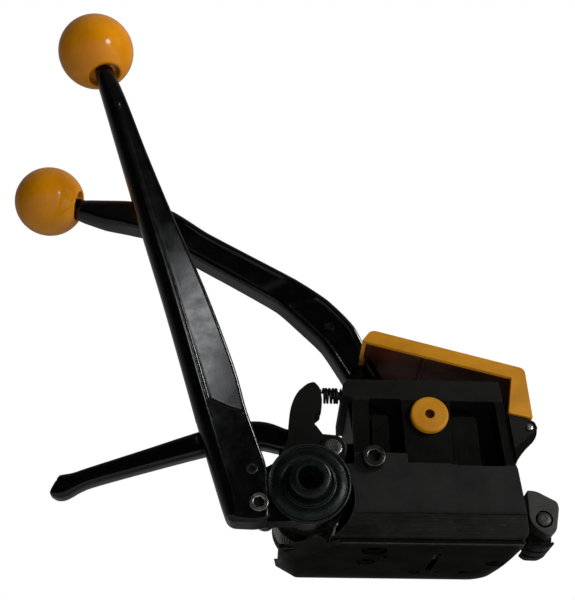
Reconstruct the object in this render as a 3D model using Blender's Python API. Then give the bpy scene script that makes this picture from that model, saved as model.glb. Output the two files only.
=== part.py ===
"""Hand strapping tensioner: steel-strap combination tool with two levers.

Sizes are in millimetres and become metres when a mesh is made. X runs along
the strap, Y goes away from the lever side, and Z is up. The origin is the
middle of the base plate's underside.
"""

import math

import bmesh
import bpy
from mathutils import Matrix, Vector

MM = 0.001
GAP = 0.3

# Joint axes, all parallel to Y, as (x, z).
HUB = (-53.8, 20.6)
ROCKER_PIN = (-42.7, 41.6)
SEAL_AXIS = (1.4, 59.5)
LID_PIN = (46.6, 54.7)
GUIDE_PIN = (48.4, 12.3)
DRIVE_PAWL_PIN = (-74.8, 10.9)
HOLDING_PAWL_PIN = (-72.0, 13.0)

# Body and base.
BODY_FRONT = -25.0
BODY_BACK = 22.0
BODY_TOP = 77.5
BODY_FOOT = 14.0
BASE_BACK = 28.0
BASE_FRONT = -26.9
BASE_THICK = 5.0
STRAP_Z = 5.2
CHANNEL_ROOF = 10.0
HUB_CLEARANCE = 20.5

# Holes and fasteners: (x, z) on the front, (x, y) on the sole.
FRONT_SCREW = (-24.8, 37.7)
RAIL_SCREW = (-24.6, -16.2)
RAIL_DOWEL = (3.4, -21.1)
DIE_SCREWS = ((-27.0, 0.0), (30.9, 0.3))
DIE_DOWELS = ((-3.2, 15.7), (19.1, 14.7))
SMALL_HOLES = ((-19.1, -7.4, 1.4), (7.1, 15.3, 1.2))
SPRING_Y = -21.5
SPRING_Z = 70.6
BRACKET_Y = -2.0
BRACKET_SCREWS = ((37.0, 46.0), (36.0, 58.0))
HANDLE_SCREWS = ((-60.6, 47.6), (-53.6, 47.4))
STOP_SCREW = (-78.0, 25.6)

# Tail handle, as (x, z, width).
HANDLE_MID = -19.7
HANDLE_THICK = 8.0
HANDLE_STATIONS = (
    (-164.4, 24.8, 4.6), (-162.4, 24.0, 7.6), (-159.0, 25.0, 7.4), (-151.0, 28.4, 4.8),
    (-126.0, 37.4, 6.2), (-100.0, 46.6, 8.4), (-86.0, 50.2, 9.8), (-74.0, 50.8, 10.6),
    (-63.0, 48.0, 9.6), (-50.2, 47.2, 9.0),
)

# Tension lever and its ratchet, front to back.
LEVER_FRONT = -46.0
LEVER_BACK = -33.0
CAGE_FRONT = -41.5
CAGE_BACK = -31.2
CAGE_RADIUS = 16.8
RATCHET_TEETH = 14
RATCHET_ROOT = 10.2
RATCHET_TIP = 12.6
TENSION_KNOB = (-166.2, -39.5, 261.6)
TENSION_KNOB_RADIUS = 20.0
TENSION_STATIONS = (
    (-160.4, 246.0, 9.4), (-152.7, 225.0, 11.2), (-140.5, 190.0, 13.2),
    (-126.0, 150.0, 16.4), (-111.6, 110.0, 18.8), (-98.9, 71.0, 19.8),
    (-92.5, 50.0, 19.6), (-86.5, 32.0, 20.4),
)
TANG_RADIUS = 4.2
DRIVE_FLANK = 152.0

# Feed wheel and shaft.
SHAFT_RADIUS = 6.0
WHEEL_RADIUS = 15.0
WHEEL_MID = 3.0
WHEEL_WIDTH = 18.0

# Sealing lever, shaft and punches.
SEAL_SHAFT_RADIUS = 6.0
SEAL_LEVER_MID = 8.0
SEAL_KNOB = (-193.0, 16.0, 202.6)
SEAL_KNOB_RADIUS = 19.0
SEAL_STATIONS = (
    (-178.4, 197.4, 16.0, 8.0, 8.4), (-172.0, 196.2, 16.0, 10.4, 10.0),
    (-160.0, 194.0, 16.0, 12.8, 11.0),
    (-146.0, 192.0, 15.0, 13.6, 12.0), (-128.0, 184.0, 11.0, 14.0, 12.0),
    (-109.0, 168.6, 8.4, 14.2, 12.0), (-86.0, 154.8, 8.0, 14.2, 12.0),
    (-62.4, 140.6, 8.0, 14.4, 12.0), (-48.0, 129.4, 8.0, 16.6, 12.0),
    (-36.6, 116.0, 8.0, 17.8, 12.0), (-27.4, 97.0, 8.0, 17.2, 12.0),
    (-18.6, 80.0, 8.0, 17.0, 12.0),
)
LEVER_PIN = (-41.0, 120.0)
CAM_LOW = 15.2
CAM_RISE = 4.5
CAM_SWEEP = 90.0
HOLDER_TOP = 43.6
HOLDER_FOOT = 22.0

COLOURS = {
    "blackened_steel": ((0.020, 0.022, 0.021), 0.55, 0.85),
    "worn_steel": ((0.105, 0.100, 0.090), 0.45, 0.90),
    "gloss_black": ((0.006, 0.006, 0.006), 0.12, 0.0),
    "hub_steel": ((0.060, 0.078, 0.076), 0.28, 0.95),
    "bright_steel": ((0.45, 0.44, 0.41), 0.30, 1.0),
    "tool_steel": ((0.16, 0.16, 0.155), 0.35, 1.0),
    "spring_steel": ((0.025, 0.025, 0.027), 0.30, 0.9),
    "bronze": ((0.30, 0.17, 0.07), 0.40, 1.0),
    "amber_plastic": ((0.74, 0.27, 0.012), 0.30, 0.0),
    "amber_knob": ((0.80, 0.29, 0.010), 0.12, 0.0),
}


# ---------------------------------------------------------------- helpers

def material(name):
    """One Principled BSDF for each named finish."""
    found = bpy.data.materials.get(name)
    if found:
        return found
    colour, roughness, metallic = COLOURS[name]
    made = bpy.data.materials.new(name)
    made.use_nodes = True
    shader = made.node_tree.nodes["Principled BSDF"]
    shader.inputs["Base Color"].default_value = (*colour, 1.0)
    shader.inputs["Roughness"].default_value = roughness
    shader.inputs["Metallic"].default_value = metallic
    return made


def polar(centre, radius, degrees):
    angle = math.radians(degrees)
    return (centre[0] + radius * math.cos(angle), centre[1] + radius * math.sin(angle))


def arc(centre, radius, start, end, steps):
    """Points round a circle, from one angle to another in degrees."""
    turn = (end - start) / steps
    return [polar(centre, radius, start + turn * i) for i in range(steps + 1)]


def circle(centre, radius, sides):
    return arc(centre, radius, 0.0, 360.0, sides)[:-1]


def box_outline(low, high):
    return [low, (high[0], low[1]), high, (low[0], high[1])]


def loft(name, rings, finish, loop=False):
    """Joins rings of equal length into one closed skin.

    The end rings are capped, unless loop joins the last ring to the first.
    """
    mesh = bpy.data.meshes.new(name)
    bm = bmesh.new()
    rows = [[bm.verts.new(Vector(point) * MM) for point in ring] for ring in rings]
    count = len(rows[0])
    pairs = list(zip(rows, rows[1:]))
    if loop:
        pairs.append((rows[-1], rows[0]))
    else:
        bm.faces.new(rows[0])
        bm.faces.new(rows[-1])
    for first, second in pairs:
        for i in range(count):
            after = (i + 1) % count
            bm.faces.new((first[i], first[after], second[after], second[i]))
    bmesh.ops.recalc_face_normals(bm, faces=bm.faces)
    bm.to_mesh(mesh)
    bm.free()
    mesh.materials.append(material(finish))
    made = bpy.data.objects.new(name, mesh)
    bpy.context.scene.collection.objects.link(made)
    return made


def slab(name, outline, y_front, y_back, finish):
    """A prism along Y from an outline of (x, z) points."""
    rings = [[(x, y, z) for x, z in outline] for y in (y_front, y_back)]
    return loft(name, rings, finish)


def plate(name, low_outline, high_outline, z_low, z_high, finish):
    """A prism along Z whose upper outline may differ from its lower one."""
    low = [(x, y, z_low) for x, y in low_outline]
    high = [(x, y, z_high) for x, y in high_outline]
    return loft(name, [low, high], finish)


def block(name, low, high, finish):
    outline = box_outline((low[0], low[2]), (high[0], high[2]))
    return slab(name, outline, low[1], high[1], finish)


def sleeve(name, outline, bore, y_front, y_back, centre, finish):
    """A prism along Y with a round bore about the given (x, z) centre."""
    inner = []
    for x, z in outline:
        angle = math.degrees(math.atan2(z - centre[1], x - centre[0]))
        inner.append(polar(centre, bore, angle))
    order = [(outline, y_front), (outline, y_back), (inner, y_back), (inner, y_front)]
    rings = [[(x, y, z) for x, z in points] for points, y in order]
    return loft(name, rings, finish, loop=True)


def turned(name, centre, axis, profile, sides, finish, loop=False):
    """A lathe shape: profile holds (radius, distance along the axis)."""
    axis = Vector(axis).normalized()
    across = axis.orthogonal().normalized()
    other = axis.cross(across)
    rings = []
    for radius, along in profile:
        ring = []
        for i in range(sides):
            angle = math.tau * (i + 0.5) / sides
            out = across * math.cos(angle) + other * math.sin(angle)
            ring.append(Vector(centre) + axis * along + out * radius)
        rings.append(ring)
    made = loft(name, rings, finish, loop)
    made.data.shade_smooth()
    made.data.set_sharp_from_angle(angle=math.radians(35))
    return made


def pin(name, centre, radius, y_front, y_back, finish, sides=18, chamfer=0.4):
    """A plain round pin along Y with chamfered ends."""
    profile = [
        (radius - chamfer, y_front),
        (radius, y_front + chamfer),
        (radius, y_back - chamfer),
        (radius - chamfer, y_back),
    ]
    return turned(name, (centre[0], 0, centre[1]), (0, 1, 0), profile, sides, finish)


def bar(name, stations, finish, chamfer=1.6):
    """A lever blade: stations hold (x, z, y, width, thickness)."""
    rings = []
    last = len(stations) - 1
    for i, (x, z, y, width, thickness) in enumerate(stations):
        before = stations[max(i - 1, 0)]
        after = stations[min(i + 1, last)]
        along = Vector((after[0] - before[0], 0, after[1] - before[1])).normalized()
        side = Vector((along.z, 0, -along.x))
        half = width / 2
        depth = thickness / 2
        edge = min(chamfer, half * 0.5, depth * 0.5)
        corners = [
            (half - edge, -depth), (half, edge - depth), (half, depth - edge),
            (half - edge, depth), (edge - half, depth), (-half, depth - edge),
            (-half, edge - depth), (edge - half, -depth),
        ]
        middle = Vector((x, y, z))
        rings.append([middle + side * a + Vector((0, b, 0)) for a, b in corners])
    return loft(name, rings, finish)


def coil(name, start, axis, length, radius, wire, turns, finish, steps=12, sides=6):
    """A helical spring with cut ends, as one closed tube."""
    axis = Vector(axis).normalized()
    across = axis.orthogonal().normalized()
    other = axis.cross(across)
    rings = []
    total = int(turns * steps)
    rise = length - 2 * wire
    for i in range(total + 1):
        angle = math.tau * i / steps
        out = across * math.cos(angle) + other * math.sin(angle)
        middle = Vector(start) + axis * (wire + rise * i / total) + out * radius
        ring = []
        for j in range(sides):
            around = math.tau * j / sides
            ring.append(middle + out * wire * math.cos(around) + axis * wire * math.sin(around))
        rings.append(ring)
    return loft(name, rings, finish)


def boolean(target, tool, operation):
    """Adds an exact Boolean and keeps its tool out of the model."""
    step = target.modifiers.new(tool.name, "BOOLEAN")
    step.operation = operation
    step.solver = "EXACT"
    step.object = tool
    tool.hide_render = True
    tool.display_type = "WIRE"
    return target


def cut(target, *tools):
    for tool in tools:
        boolean(target, tool, "DIFFERENCE")
    return target


def join(target, *tools):
    for tool in tools:
        boolean(target, tool, "UNION")
    return target


def hole(name, centre, radius, y_front, y_back, sides=18):
    """A round cutter along Y."""
    profile = [(radius, y_front), (radius, y_back)]
    middle = (centre[0], 0, centre[1])
    return turned(name, middle, (0, 1, 0), profile, sides, "tool_steel")


def cross_hole(name, start, radius, low, high):
    """A round cutter along X, from a starting point."""
    return turned(name, start, (1, 0, 0), [(radius, low), (radius, high)], 12, "tool_steel")


def post(name, centre, radius, z_low, z_high, finish="tool_steel", sides=14):
    """A round shape along Z: a cutter, a dowel or a screw's shank."""
    profile = [(radius, z_low), (radius, z_high)]
    middle = (centre[0], centre[1], 0)
    return turned(name, middle, (0, 0, 1), profile, sides, finish)


def socket_screw(name, centre, axis, head, shank, socket, finish, sides=20):
    """A socket-head screw: head and shank are (radius, length)."""
    head_radius, head_length = head
    shank_radius, shank_length = shank
    depth = head_length * 0.55
    profile = [
        (socket * 0.98, depth),
        (socket, 0.0),
        (head_radius - 0.5, 0.0),
        (head_radius, 0.5),
        (head_radius, head_length),
        (shank_radius, head_length),
        (shank_radius, head_length + shank_length),
    ]
    return turned(name, centre, axis, profile, sides, finish)


# ------------------------------------------------------------ fixed frame

def hub_clearance(name, y_front, y_back):
    return hole(name, HUB, HUB_CLEARANCE, y_front, y_back, sides=36)


def body_outline():
    """The casting's front view, with its leaning right edge."""
    return [
        (-37.5, BODY_FOOT), (41.2, BODY_FOOT), (38.9, 38.0), (34.9, BODY_TOP),
        (-35.0, BODY_TOP), (-37.5, 75.0),
    ]


def pocket(name, outline, depth):
    return slab(name, outline, BODY_FRONT - 3, BODY_FRONT + depth, "tool_steel")


def body_casting():
    """The main casting: two front pockets, punch well and lever slot."""
    made = slab("body_casting", body_outline(), BODY_FRONT, BODY_BACK, "blackened_steel")
    skirt = [
        (-37.4, BODY_FOOT), (41.2, BODY_FOOT), (39.1, 35.8), (10.8, 35.8),
        (9.6, 36.8), (-8.4, 36.8), (-9.4, 41.3), (-37.4, 41.3),
    ]
    join(made, slab("skirt_pad", skirt, BODY_FRONT - 1, BODY_FRONT + 4, "tool_steel"))
    lug = arc(ROCKER_PIN, 6.4, 90, 270, 10) + [(-30.0, 33.0), (-30.0, 52.0)]
    join(made, slab("pin_lug", lug, -16.4, 13.6, "tool_steel"))
    guide_lug = arc(GUIDE_PIN, 4.8, -90, 90, 10) + [(36.0, 19.0), (36.0, 7.6)]
    join(made, slab("guide_lug", guide_lug, -13.0, -4.0, "tool_steel"))
    roof = box_outline((-30.0, CHANNEL_ROOF), (38.6, BODY_FOOT + 2))
    join(made, slab("channel_roof", roof, -13.0, BODY_BACK, "tool_steel"))
    left_pocket = [(-25.0, 41.3), (-9.6, 41.3), (-10.8, 67.5), (-25.0, 67.5)]
    left_floor = left_pocket[1:] + [(-25.0, 62.8), (-17.4, 62.8), (-17.4, 41.3)]
    right_pocket = [(11.8, 35.8), (34.8, 35.8), (32.0, 67.4), (11.4, 67.4)]
    right_floor = right_pocket[1:] + [(11.4, 62.2), (24.4, 62.2), (24.4, 35.8)]
    cut(made, pocket("left_pocket", left_pocket, 6.0), pocket("left_deep", left_floor, 12.5))
    cut(made, pocket("right_pocket", right_pocket, 6.0), pocket("right_deep", right_floor, 12.5))
    edge = box_outline((-40.0, 36.0), (-33.0, 69.0))
    cut(made, slab("left_relief", edge, BODY_FRONT - 2, -17.0, "tool_steel"))
    cut(made, hub_clearance("body_hub_room", -30, 13.8))
    cut(made, hole("rear_boss_room", ROCKER_PIN, 6.9, 13.7, 30))
    cut(made, block("punch_well", (-12, -8, BODY_FOOT), (28, 16, 50.2), "tool_steel"))
    cut(made, block("punch_mouth", (-4, -8, 5), (20, 16, 30), "tool_steel"))
    cut(made, block("cam_room", (-15, -8, 47), (24, 16, 71), "tool_steel"))
    slot = [(-34, 84), (-29.5, 72), (-14, 49.5), (20, 49.5), (45, 64), (45, 84)]
    cut(made, slab("lever_slot", slot, 1.4, 14.6, "tool_steel"))
    cut(made, hole("shaft_bore", SEAL_AXIS, SEAL_SHAFT_RADIUS + GAP, -30, 30))
    cut(made, hole("rocker_pin_bore", ROCKER_PIN, 4.0 + GAP, -30, 30))
    cut(made, hole("guide_pin_bore", GUIDE_PIN, 3.2 + GAP, -30, 30))
    cut(made, hole("front_screw_bore", FRONT_SCREW, 3.0 + GAP, -40, -9))
    cut(made, post("rail_screw_bore", RAIL_SCREW, 3.0, 8, 25))
    for x, z in BRACKET_SCREWS:
        cut(made, cross_hole("bracket_bore", (x, BRACKET_Y, z), 1.8, -14, 8))
    return cut(made, cross_hole("spring_stud_bore", (-39, SPRING_Y, SPRING_Z), 1.6, -2, 9))


def base_plate():
    """The flat sole that slides under the strap."""
    low = [
        (-39.5, BASE_FRONT), (38.5, BASE_FRONT), (36.5, -5.0), (34.7, 7.5), (31.0, 22.6),
        (25.5, 27.6), (-57.8, 27.6), (-57.8, -5.0), (-55.0, -7.6),
    ]
    high = [
        (-40.5, BASE_FRONT), (41.0, BASE_FRONT), (41.0, -5.0), (40.5, 10.0), (37.5, 24.0),
        (31.0, BASE_BACK), (-66.5, BASE_BACK), (-69.0, -2.0), (-60.0, -9.0),
    ]
    made = plate("base_plate", low, high, 0.0, BASE_THICK, "blackened_steel")
    cut(made, block("rail_rebate", (-50, -40, 2.0), (50, -20.2, 9), "tool_steel"))
    cut(made, block("die_seat", (-31.8, -10.0, 2.7), (35.8, 18.3, 9), "tool_steel"))
    cut(made, block("grip_seat", (-70, -8.3, 2.7), (-42.7, 14.3, 9), "tool_steel"))
    cut(made, slug_slot("base_slug_slot"))
    cut(made, post("rail_head_bore", RAIL_SCREW, 5.8, -1, 3.4))
    cut(made, post("rail_shank_bore", RAIL_SCREW, 3.2, 2, 9))
    for i, spot in enumerate(DIE_SCREWS):
        cut(made, post("die_head_bore_%d" % i, spot, 4.3, -1, 2.2))
        cut(made, post("die_shank_bore_%d" % i, spot, 2.4, 1, 6))
    for i, spot in enumerate(DIE_DOWELS):
        cut(made, post("die_dowel_bore_%d" % i, spot, 2.7, -1, 6))
    cut(made, post("rail_dowel_bore", RAIL_DOWEL, 1.9, -1, 6))
    for i, (x, y, radius) in enumerate(SMALL_HOLES):
        cut(made, post("small_bore_%d" % i, (x, y), radius, -1, 1.8))
    return made


def slug_slot(name):
    """The slanting slot that lets cut slugs fall out of the die."""
    outline = [(2.5, -13.2), (5.4, -13.2), (3.9, 12.4), (1.0, 12.4)]
    return plate(name, outline, outline, -2, 9, "tool_steel")


def side_rail():
    """The hardened rail along the near side of the strap channel."""
    upper = [(-44.0, STRAP_Z + GAP), (40.6, STRAP_Z + GAP), (40.6, 13.7), (-44.0, 13.7)]
    made = slab("side_rail", upper, -27.4, -13.5, "worn_steel")
    lip = [(-46.0, 2.3), (37.4, 2.3), (39.4, 3.0), (40.6, 5.0), (40.6, 8.0), (-46.0, 8.0)]
    join(made, slab("rail_lip", lip, -27.4, -20.5, "tool_steel"))
    cut(made, hub_clearance("rail_hub_room", -30, -10))
    cut(made, post("rail_through_bore", RAIL_SCREW, 3.1, 0, 20))
    cut(made, post("rail_head_room", RAIL_SCREW, 5.8, 0, 3.4))
    return cut(made, post("rail_pin_bore", RAIL_DOWEL, 1.9, 0, 12))


def insert(name, low, high, holes, finish):
    """A hardened plate let into the base."""
    made = block(name, (low[0], low[1], 3.0), (high[0], high[1], STRAP_Z), finish)
    for i, (x, y, radius) in enumerate(holes):
        cut(made, post("%s_bore_%d" % (name, i), (x, y), radius, 0, 9))
    return made


def die_plate():
    dowels = [(x, y, 2.7) for x, y in DIE_DOWELS]
    screws = [(x, y, 2.0) for x, y in DIE_SCREWS]
    made = insert("die_plate", (-31.5, -9.7), (35.5, 18.0), dowels, "tool_steel")
    for i, (x, y, radius) in enumerate(screws):
        cut(made, post("die_tapped_bore_%d" % i, (x, y), radius, 0, 4.9))
    return cut(made, slug_slot("die_slug_slot"))


def fixed_fasteners():
    """Screws, dowels and hinge pins held by the body and base."""
    front = (FRONT_SCREW[0], -32.0, FRONT_SCREW[1])
    head, shank = (5.1, 5.7), (3.0, 15.0)
    socket_screw("front_socket_screw", front, (0, 1, 0), head, shank, 2.9, "bright_steel", 24)
    rail = (RAIL_SCREW[0], RAIL_SCREW[1], 0.5)
    socket_screw("rail_screw", rail, (0, 0, 1), (5.4, 2.6), (2.6, 20.5), 2.6, "tool_steel")
    for name, spot in zip(("die_screw_left", "die_screw_right"), DIE_SCREWS):
        middle = (spot[0], spot[1], 0.3)
        socket_screw(name, middle, (0, 0, 1), (4.0, 1.6), (1.7, 2.7), 1.7, "tool_steel")
    for name, spot in zip(("die_dowel_left", "die_dowel_right"), DIE_DOWELS):
        post(name, spot, 2.4, 0.3, 5.0)
    post("rail_dowel", RAIL_DOWEL, 1.6, 0.3, 11.5)
    pin("rocker_pivot_pin", ROCKER_PIN, 4.0, -31.0, 22.4, "bright_steel", 24)
    pin("guide_hinge_pin", GUIDE_PIN, 3.2, -25.8, 2.2, "bright_steel", 20)
    pin("lid_hinge_pin", LID_PIN, 1.7, -26.6, 22.4, "bright_steel", 16, 0.3)
    stud = [
        (1.5, -42.0), (1.9, -41.6), (1.9, -38.6), (3.4, -38.6), (3.4, -37.9), (1.3, -37.9),
        (1.3, -30.6),
    ]
    turned("spring_stud", (0, SPRING_Y, SPRING_Z), (1, 0, 0), stud, 14, "tool_steel")


def lid_bracket():
    """Two hinge ears joined by a strip down the body's right side."""
    ear = [
        (39.3, 38.6), (43.3, 44.2), (49.0, 49.6), (50.2, 54.0), (48.9, 57.6),
        (45.6, 58.4), (37.6, 60.4),
    ]
    made = slab("lid_bracket", ear, -26.2, 21.8, "blackened_steel")
    middle = [(40.9, 30), (60, 30), (60, 70), (39.4, 70)]
    cut(made, slab("bracket_gap", middle, -22.4, 18.0, "tool_steel"))
    cut(made, hole("bracket_pin_bore", LID_PIN, 2.0, -30, 30, 16))
    for x, z in BRACKET_SCREWS:
        cut(made, cross_hole("ear_strip_bore", (x, BRACKET_Y, z), 1.7, -5, 12))
    for name, (x, z) in zip(("bracket_screw_low", "bracket_screw_high"), BRACKET_SCREWS):
        start = (x + 6.4, BRACKET_Y, z)
        socket_screw(name, start, (-1, 0, 0), (2.6, 2.0), (1.4, 11.0), 1.3, "tool_steel", 14)
    return made


# ----------------------------------------------------------------- rocker

def rocker_frame():
    """The rocking carrier: front cheek with arm, bridge and rear cheek."""
    cheek = [(-70.3, 20.0), (-76.0, 15.5), (-76.2, 10.8), (-72.5, 8.0), (-66.0, 9.4)]
    cheek += arc(HUB, 16.5, 225, 385, 20)
    cheek += arc(ROCKER_PIN, 6.2, -30, 80, 8)
    cheek += [(-47.2, 48.2), (-50.0, 52.2), (-62.4, 52.2), (-62.4, 46.0), (-66.6, 36.0)]
    made = slab("rocker_frame", cheek, -30.0, -24.0, "blackened_steel")
    arm = [
        (-62.4, 50.0), (-62.2, 54.0), (-60.6, 61.8), (-57.6, 68.2), (-52.4, 73.4),
        (-49.6, 74.2), (-47.8, 71.4), (-47.2, 64.6), (-47.6, 59.8), (-51.2, 57.4),
        (-51.0, 53.8), (-49.0, 50.0),
    ]
    join(made, slab("arm_front", arm, -30.0, -24.0, "tool_steel"))
    head = [(-62.1, 54.6)] + arm[2:10] + [(-51.1, 54.6)]
    join(made, slab("arm_head", head, -30.0, -17.5, "tool_steel"))
    rear = arc(HUB, 14.8, 165, 380, 22)
    rear += arc(ROCKER_PIN, 6.2, -30, 120, 8)
    rear += [(-60.0, 45.5), (-66.6, 41.5), (-66.6, 34.0)]
    join(made, slab("rear_cheek", rear, 14.0, 22.0, "tool_steel"))
    bridge = box_outline((-66.4, 36.2), (-60.0, 41.4))
    join(made, slab("bridge", bridge, -26.0, 16.0, "tool_steel"))
    bores = (
        ("bearing_bores", HUB, 9.0), ("pivot_bores", ROCKER_PIN, 4.0 + 0.1),
        ("holding_bores", HOLDING_PAWL_PIN, 2.5),
    )
    for name, centre, radius in bores:
        cut(made, hole(name, centre, radius, -40, 30, 20))
    for i, spot in enumerate(HANDLE_SCREWS):
        cut(made, hole("handle_tapped_%d" % i, spot, 2.1, -27.2, -20, 12))
    return cut(made, cross_hole("spring_nose_bore", (-49.4, SPRING_Y, SPRING_Z), 1.5, 0, 6))


def rocker_handle():
    """The tail lever that lifts the feed wheel off the strap."""
    stations = [(x, z, HANDLE_MID, width, HANDLE_THICK) for x, z, width in HANDLE_STATIONS]
    made = bar("rocker_handle", stations, "gloss_black", 2.2)
    for i, spot in enumerate(HANDLE_SCREWS):
        cut(made, hole("handle_bore_%d" % i, spot, 2.1, -30, -10, 12))
    return made


def rocker_parts():
    """Bushes, screws and the holding pawl's pin."""
    for name, y_front, y_back in (("front_bush", -30.0, -24.0), ("rear_bush", 14.0, 22.0)):
        sleeve(name, circle(HUB, 8.7, 24), SHAFT_RADIUS + 0.05, y_front, y_back, HUB, "bronze")
    for name, (x, z) in zip(("handle_screw_low", "handle_screw_high"), HANDLE_SCREWS):
        socket_screw(name, (x, -13.2, z), (0, -1, 0), (3.0, 2.2), (1.8, 11.0), 1.5, "tool_steel", 12)
    pin("holding_pawl_pin", HOLDING_PAWL_PIN, 2.2, -30.4, -13.4, "tool_steel", 14)


def holding_pawl():
    """The pawl that stops the feed shaft from running back."""
    tip = polar(HUB, RATCHET_TIP + 0.4, 198)
    heel = polar(HUB, RATCHET_TIP + 0.6, 212)
    outline = arc(HOLDING_PAWL_PIN, 4.4, 110, 300, 12) + [heel, tip]
    made = slab("holding_pawl", outline, -20.0, -14.0, "tool_steel")
    return cut(made, hole("holding_pawl_bore", HOLDING_PAWL_PIN, 2.5, -30, 0, 16))


# ---------------------------------------------------------- tension lever

def ratchet_outline(phase):
    """Saw teeth whose steep flanks face anticlockwise."""
    pitch = 360.0 / RATCHET_TEETH
    points = []
    for i in range(RATCHET_TEETH):
        start = phase + pitch * i
        points.append(polar(HUB, RATCHET_ROOT, start + 0.6))
        points.append(polar(HUB, (RATCHET_ROOT + RATCHET_TIP) / 2, start + pitch / 2))
        points.append(polar(HUB, RATCHET_TIP, start + pitch))
    return points


def tension_lever():
    """Forged blade with front panel, and the cage round the ratchet."""
    middle = (LEVER_FRONT + LEVER_BACK) / 2
    thick = LEVER_BACK - LEVER_FRONT
    stations = [(x, z, middle, width, thick) for x, z, width in TENSION_STATIONS]
    stations[0] = (*stations[0][:4], 11.0)
    made = bar("tension_lever", stations, "gloss_black", 2.4)
    join(made, tang("tension_tang", TENSION_KNOB, (-152.7, 225.0), TENSION_KNOB_RADIUS))
    foot = [
        (-103.0, 52.0), (-96.4, 30.0), (-90.2, 10.6), (-88.0, 6.0), (-83.6, 3.2), (-76.4, 2.8),
        (-70.6, 3.9), (-58.0, 4.6), (-53.8, 20.6), (-60.0, 36.0), (-72.6, 28.0), (-82.8, 51.5),
    ]
    join(made, slab("lever_foot", foot, CAGE_FRONT, LEVER_BACK + 0.01, "tool_steel"))
    front_foot = foot[:6] + [(-71.4, 4.2), (-70.6, 9.4), (-72.4, 27.0), (-82.8, 51.5)]
    join(made, slab("foot_front", front_foot, LEVER_FRONT + 0.8, CAGE_FRONT + 2, "tool_steel"))
    join(made, hole("cage_ring", HUB, CAGE_RADIUS, CAGE_FRONT, CAGE_BACK, 32))
    cut(made, hole("cage_room", HUB, RATCHET_TIP + 1.0, CAGE_FRONT - 8, -35.0, 28))
    pawl_room = [(-70.0, 6.2), (-80.4, 5.6), (-81.0, 16.0), (-69.4, 28.6), (-60.0, 29.6), (-58.0, 12.0)]
    cut(made, slab("pawl_room", pawl_room, -41.3, -35.0, "tool_steel"))
    cut(made, hole("cage_bore", HUB, 8.0, -50, -20, 20))
    cut(made, hole("drive_pin_bore", DRIVE_PAWL_PIN, 2.8, -50, -20, 16))
    cut(made, hole("stop_screw_bore", STOP_SCREW, 1.9, -50, -37, 14))
    panel = [(x + 1.2, z, LEVER_FRONT - 1.6, width - 5.4, 8.0) for x, z, width in TENSION_STATIONS[1:6]]
    return cut(made, bar("lever_panel", panel, "tool_steel", 0.5))


def drive_pawl():
    """Pushes one tooth of the ratchet when the lever is pulled."""
    flank = DRIVE_FLANK
    nose = [polar(HUB, 11.0, flank + 2.0), polar(HUB, 13.9, flank + 1.2)]
    heel = [polar(HUB, 14.2, flank + 20.0), polar(HUB, 12.0, flank + 9.0)]
    outline = nose + arc(DRIVE_PAWL_PIN, 4.6, 144, 324, 12) + heel
    made = slab("drive_pawl", outline, -40.9, -35.4, "tool_steel")
    return cut(made, hole("drive_pawl_bore", DRIVE_PAWL_PIN, 2.8, -50, -30, 16))


def knob(name, centre, direction, radius, mouth, finish):
    """A ball knob with a tapped bore in a shallow round seat."""
    seat = radius * 0.78
    profile = [(TANG_RADIUS + GAP, -radius * 0.2), (TANG_RADIUS + GAP, -seat), (mouth, -seat)]
    steps = 10
    first = -math.degrees(math.acos(mouth / radius))
    for i in range(steps + 1):
        angle = math.radians(first + (84 - first) * i / steps)
        profile.append((radius * math.cos(angle), radius * math.sin(angle)))
    return turned(name, centre, direction, profile, 22, finish)


def lever_axis(end, inner):
    return (Vector((end[0], 0, end[2])) - Vector((inner[0], 0, inner[1]))).normalized()


def tang(name, centre, inner, radius):
    """The round end of a lever, held inside its knob."""
    profile = [(TANG_RADIUS, -radius - 6), (TANG_RADIUS, -radius * 0.3)]
    return turned(name, centre, lever_axis(centre, inner), profile, 16, "tool_steel")


def tension_parts():
    """Knob, stud, cover disc and the lever's screws."""
    aim = lever_axis(TENSION_KNOB, (-152.7, 225.0))
    knob("tension_knob", TENSION_KNOB, aim, TENSION_KNOB_RADIUS, 8.4, "amber_knob")
    cover = [
        (5.3, -50.0), (8.2, -50.0), (8.7, -49.5), (8.7, -43.6), (9.6, -42.9),
        (15.6, -43.2), (16.6, -44.0), (17.3, -44.0), (17.6, -43.6), (17.6, -41.8), (5.3, -41.8),
    ]
    turned("ratchet_cover", (HUB[0], 0, HUB[1]), (0, 1, 0), cover, 30, "hub_steel", loop=True)
    start = (DRIVE_PAWL_PIN[0], -46.6, DRIVE_PAWL_PIN[1])
    socket_screw("drive_pawl_screw", start, (0, 1, 0), (4.0, 1.1), (2.5, 12.0), 2.2, "bright_steel", 20)
    start = (STOP_SCREW[0], -46.2, STOP_SCREW[1])
    socket_screw("stop_screw", start, (0, 1, 0), (2.5, 0.7), (1.6, 7.0), 1.3, "bright_steel", 14)


def feed_shaft_parts():
    """Shaft, feed wheel and the two ratchet wheels on it."""
    pin("feed_shaft", HUB, SHAFT_RADIUS, -41.2, 24.0, "tool_steel", 28, 0.8)
    wheel = []
    teeth = 28
    for i in range(teeth):
        wheel.append(polar(HUB, WHEEL_RADIUS, 360.0 * i / teeth))
        wheel.append(polar(HUB, WHEEL_RADIUS - 0.6, 360.0 * (i + 0.5) / teeth))
    half = WHEEL_WIDTH / 2
    bore = SHAFT_RADIUS + GAP
    sleeve("feed_wheel", wheel, bore, WHEEL_MID - half, WHEEL_MID + half, HUB, "tool_steel")
    phase = DRIVE_FLANK
    sleeve("drive_ratchet", ratchet_outline(phase), bore, -40.9, -35.4, HUB, "tool_steel")
    sleeve("holding_ratchet", ratchet_outline(phase), bore, -20.0, -14.0, HUB, "tool_steel")


# ---------------------------------------------------------- sealing lever

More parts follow.
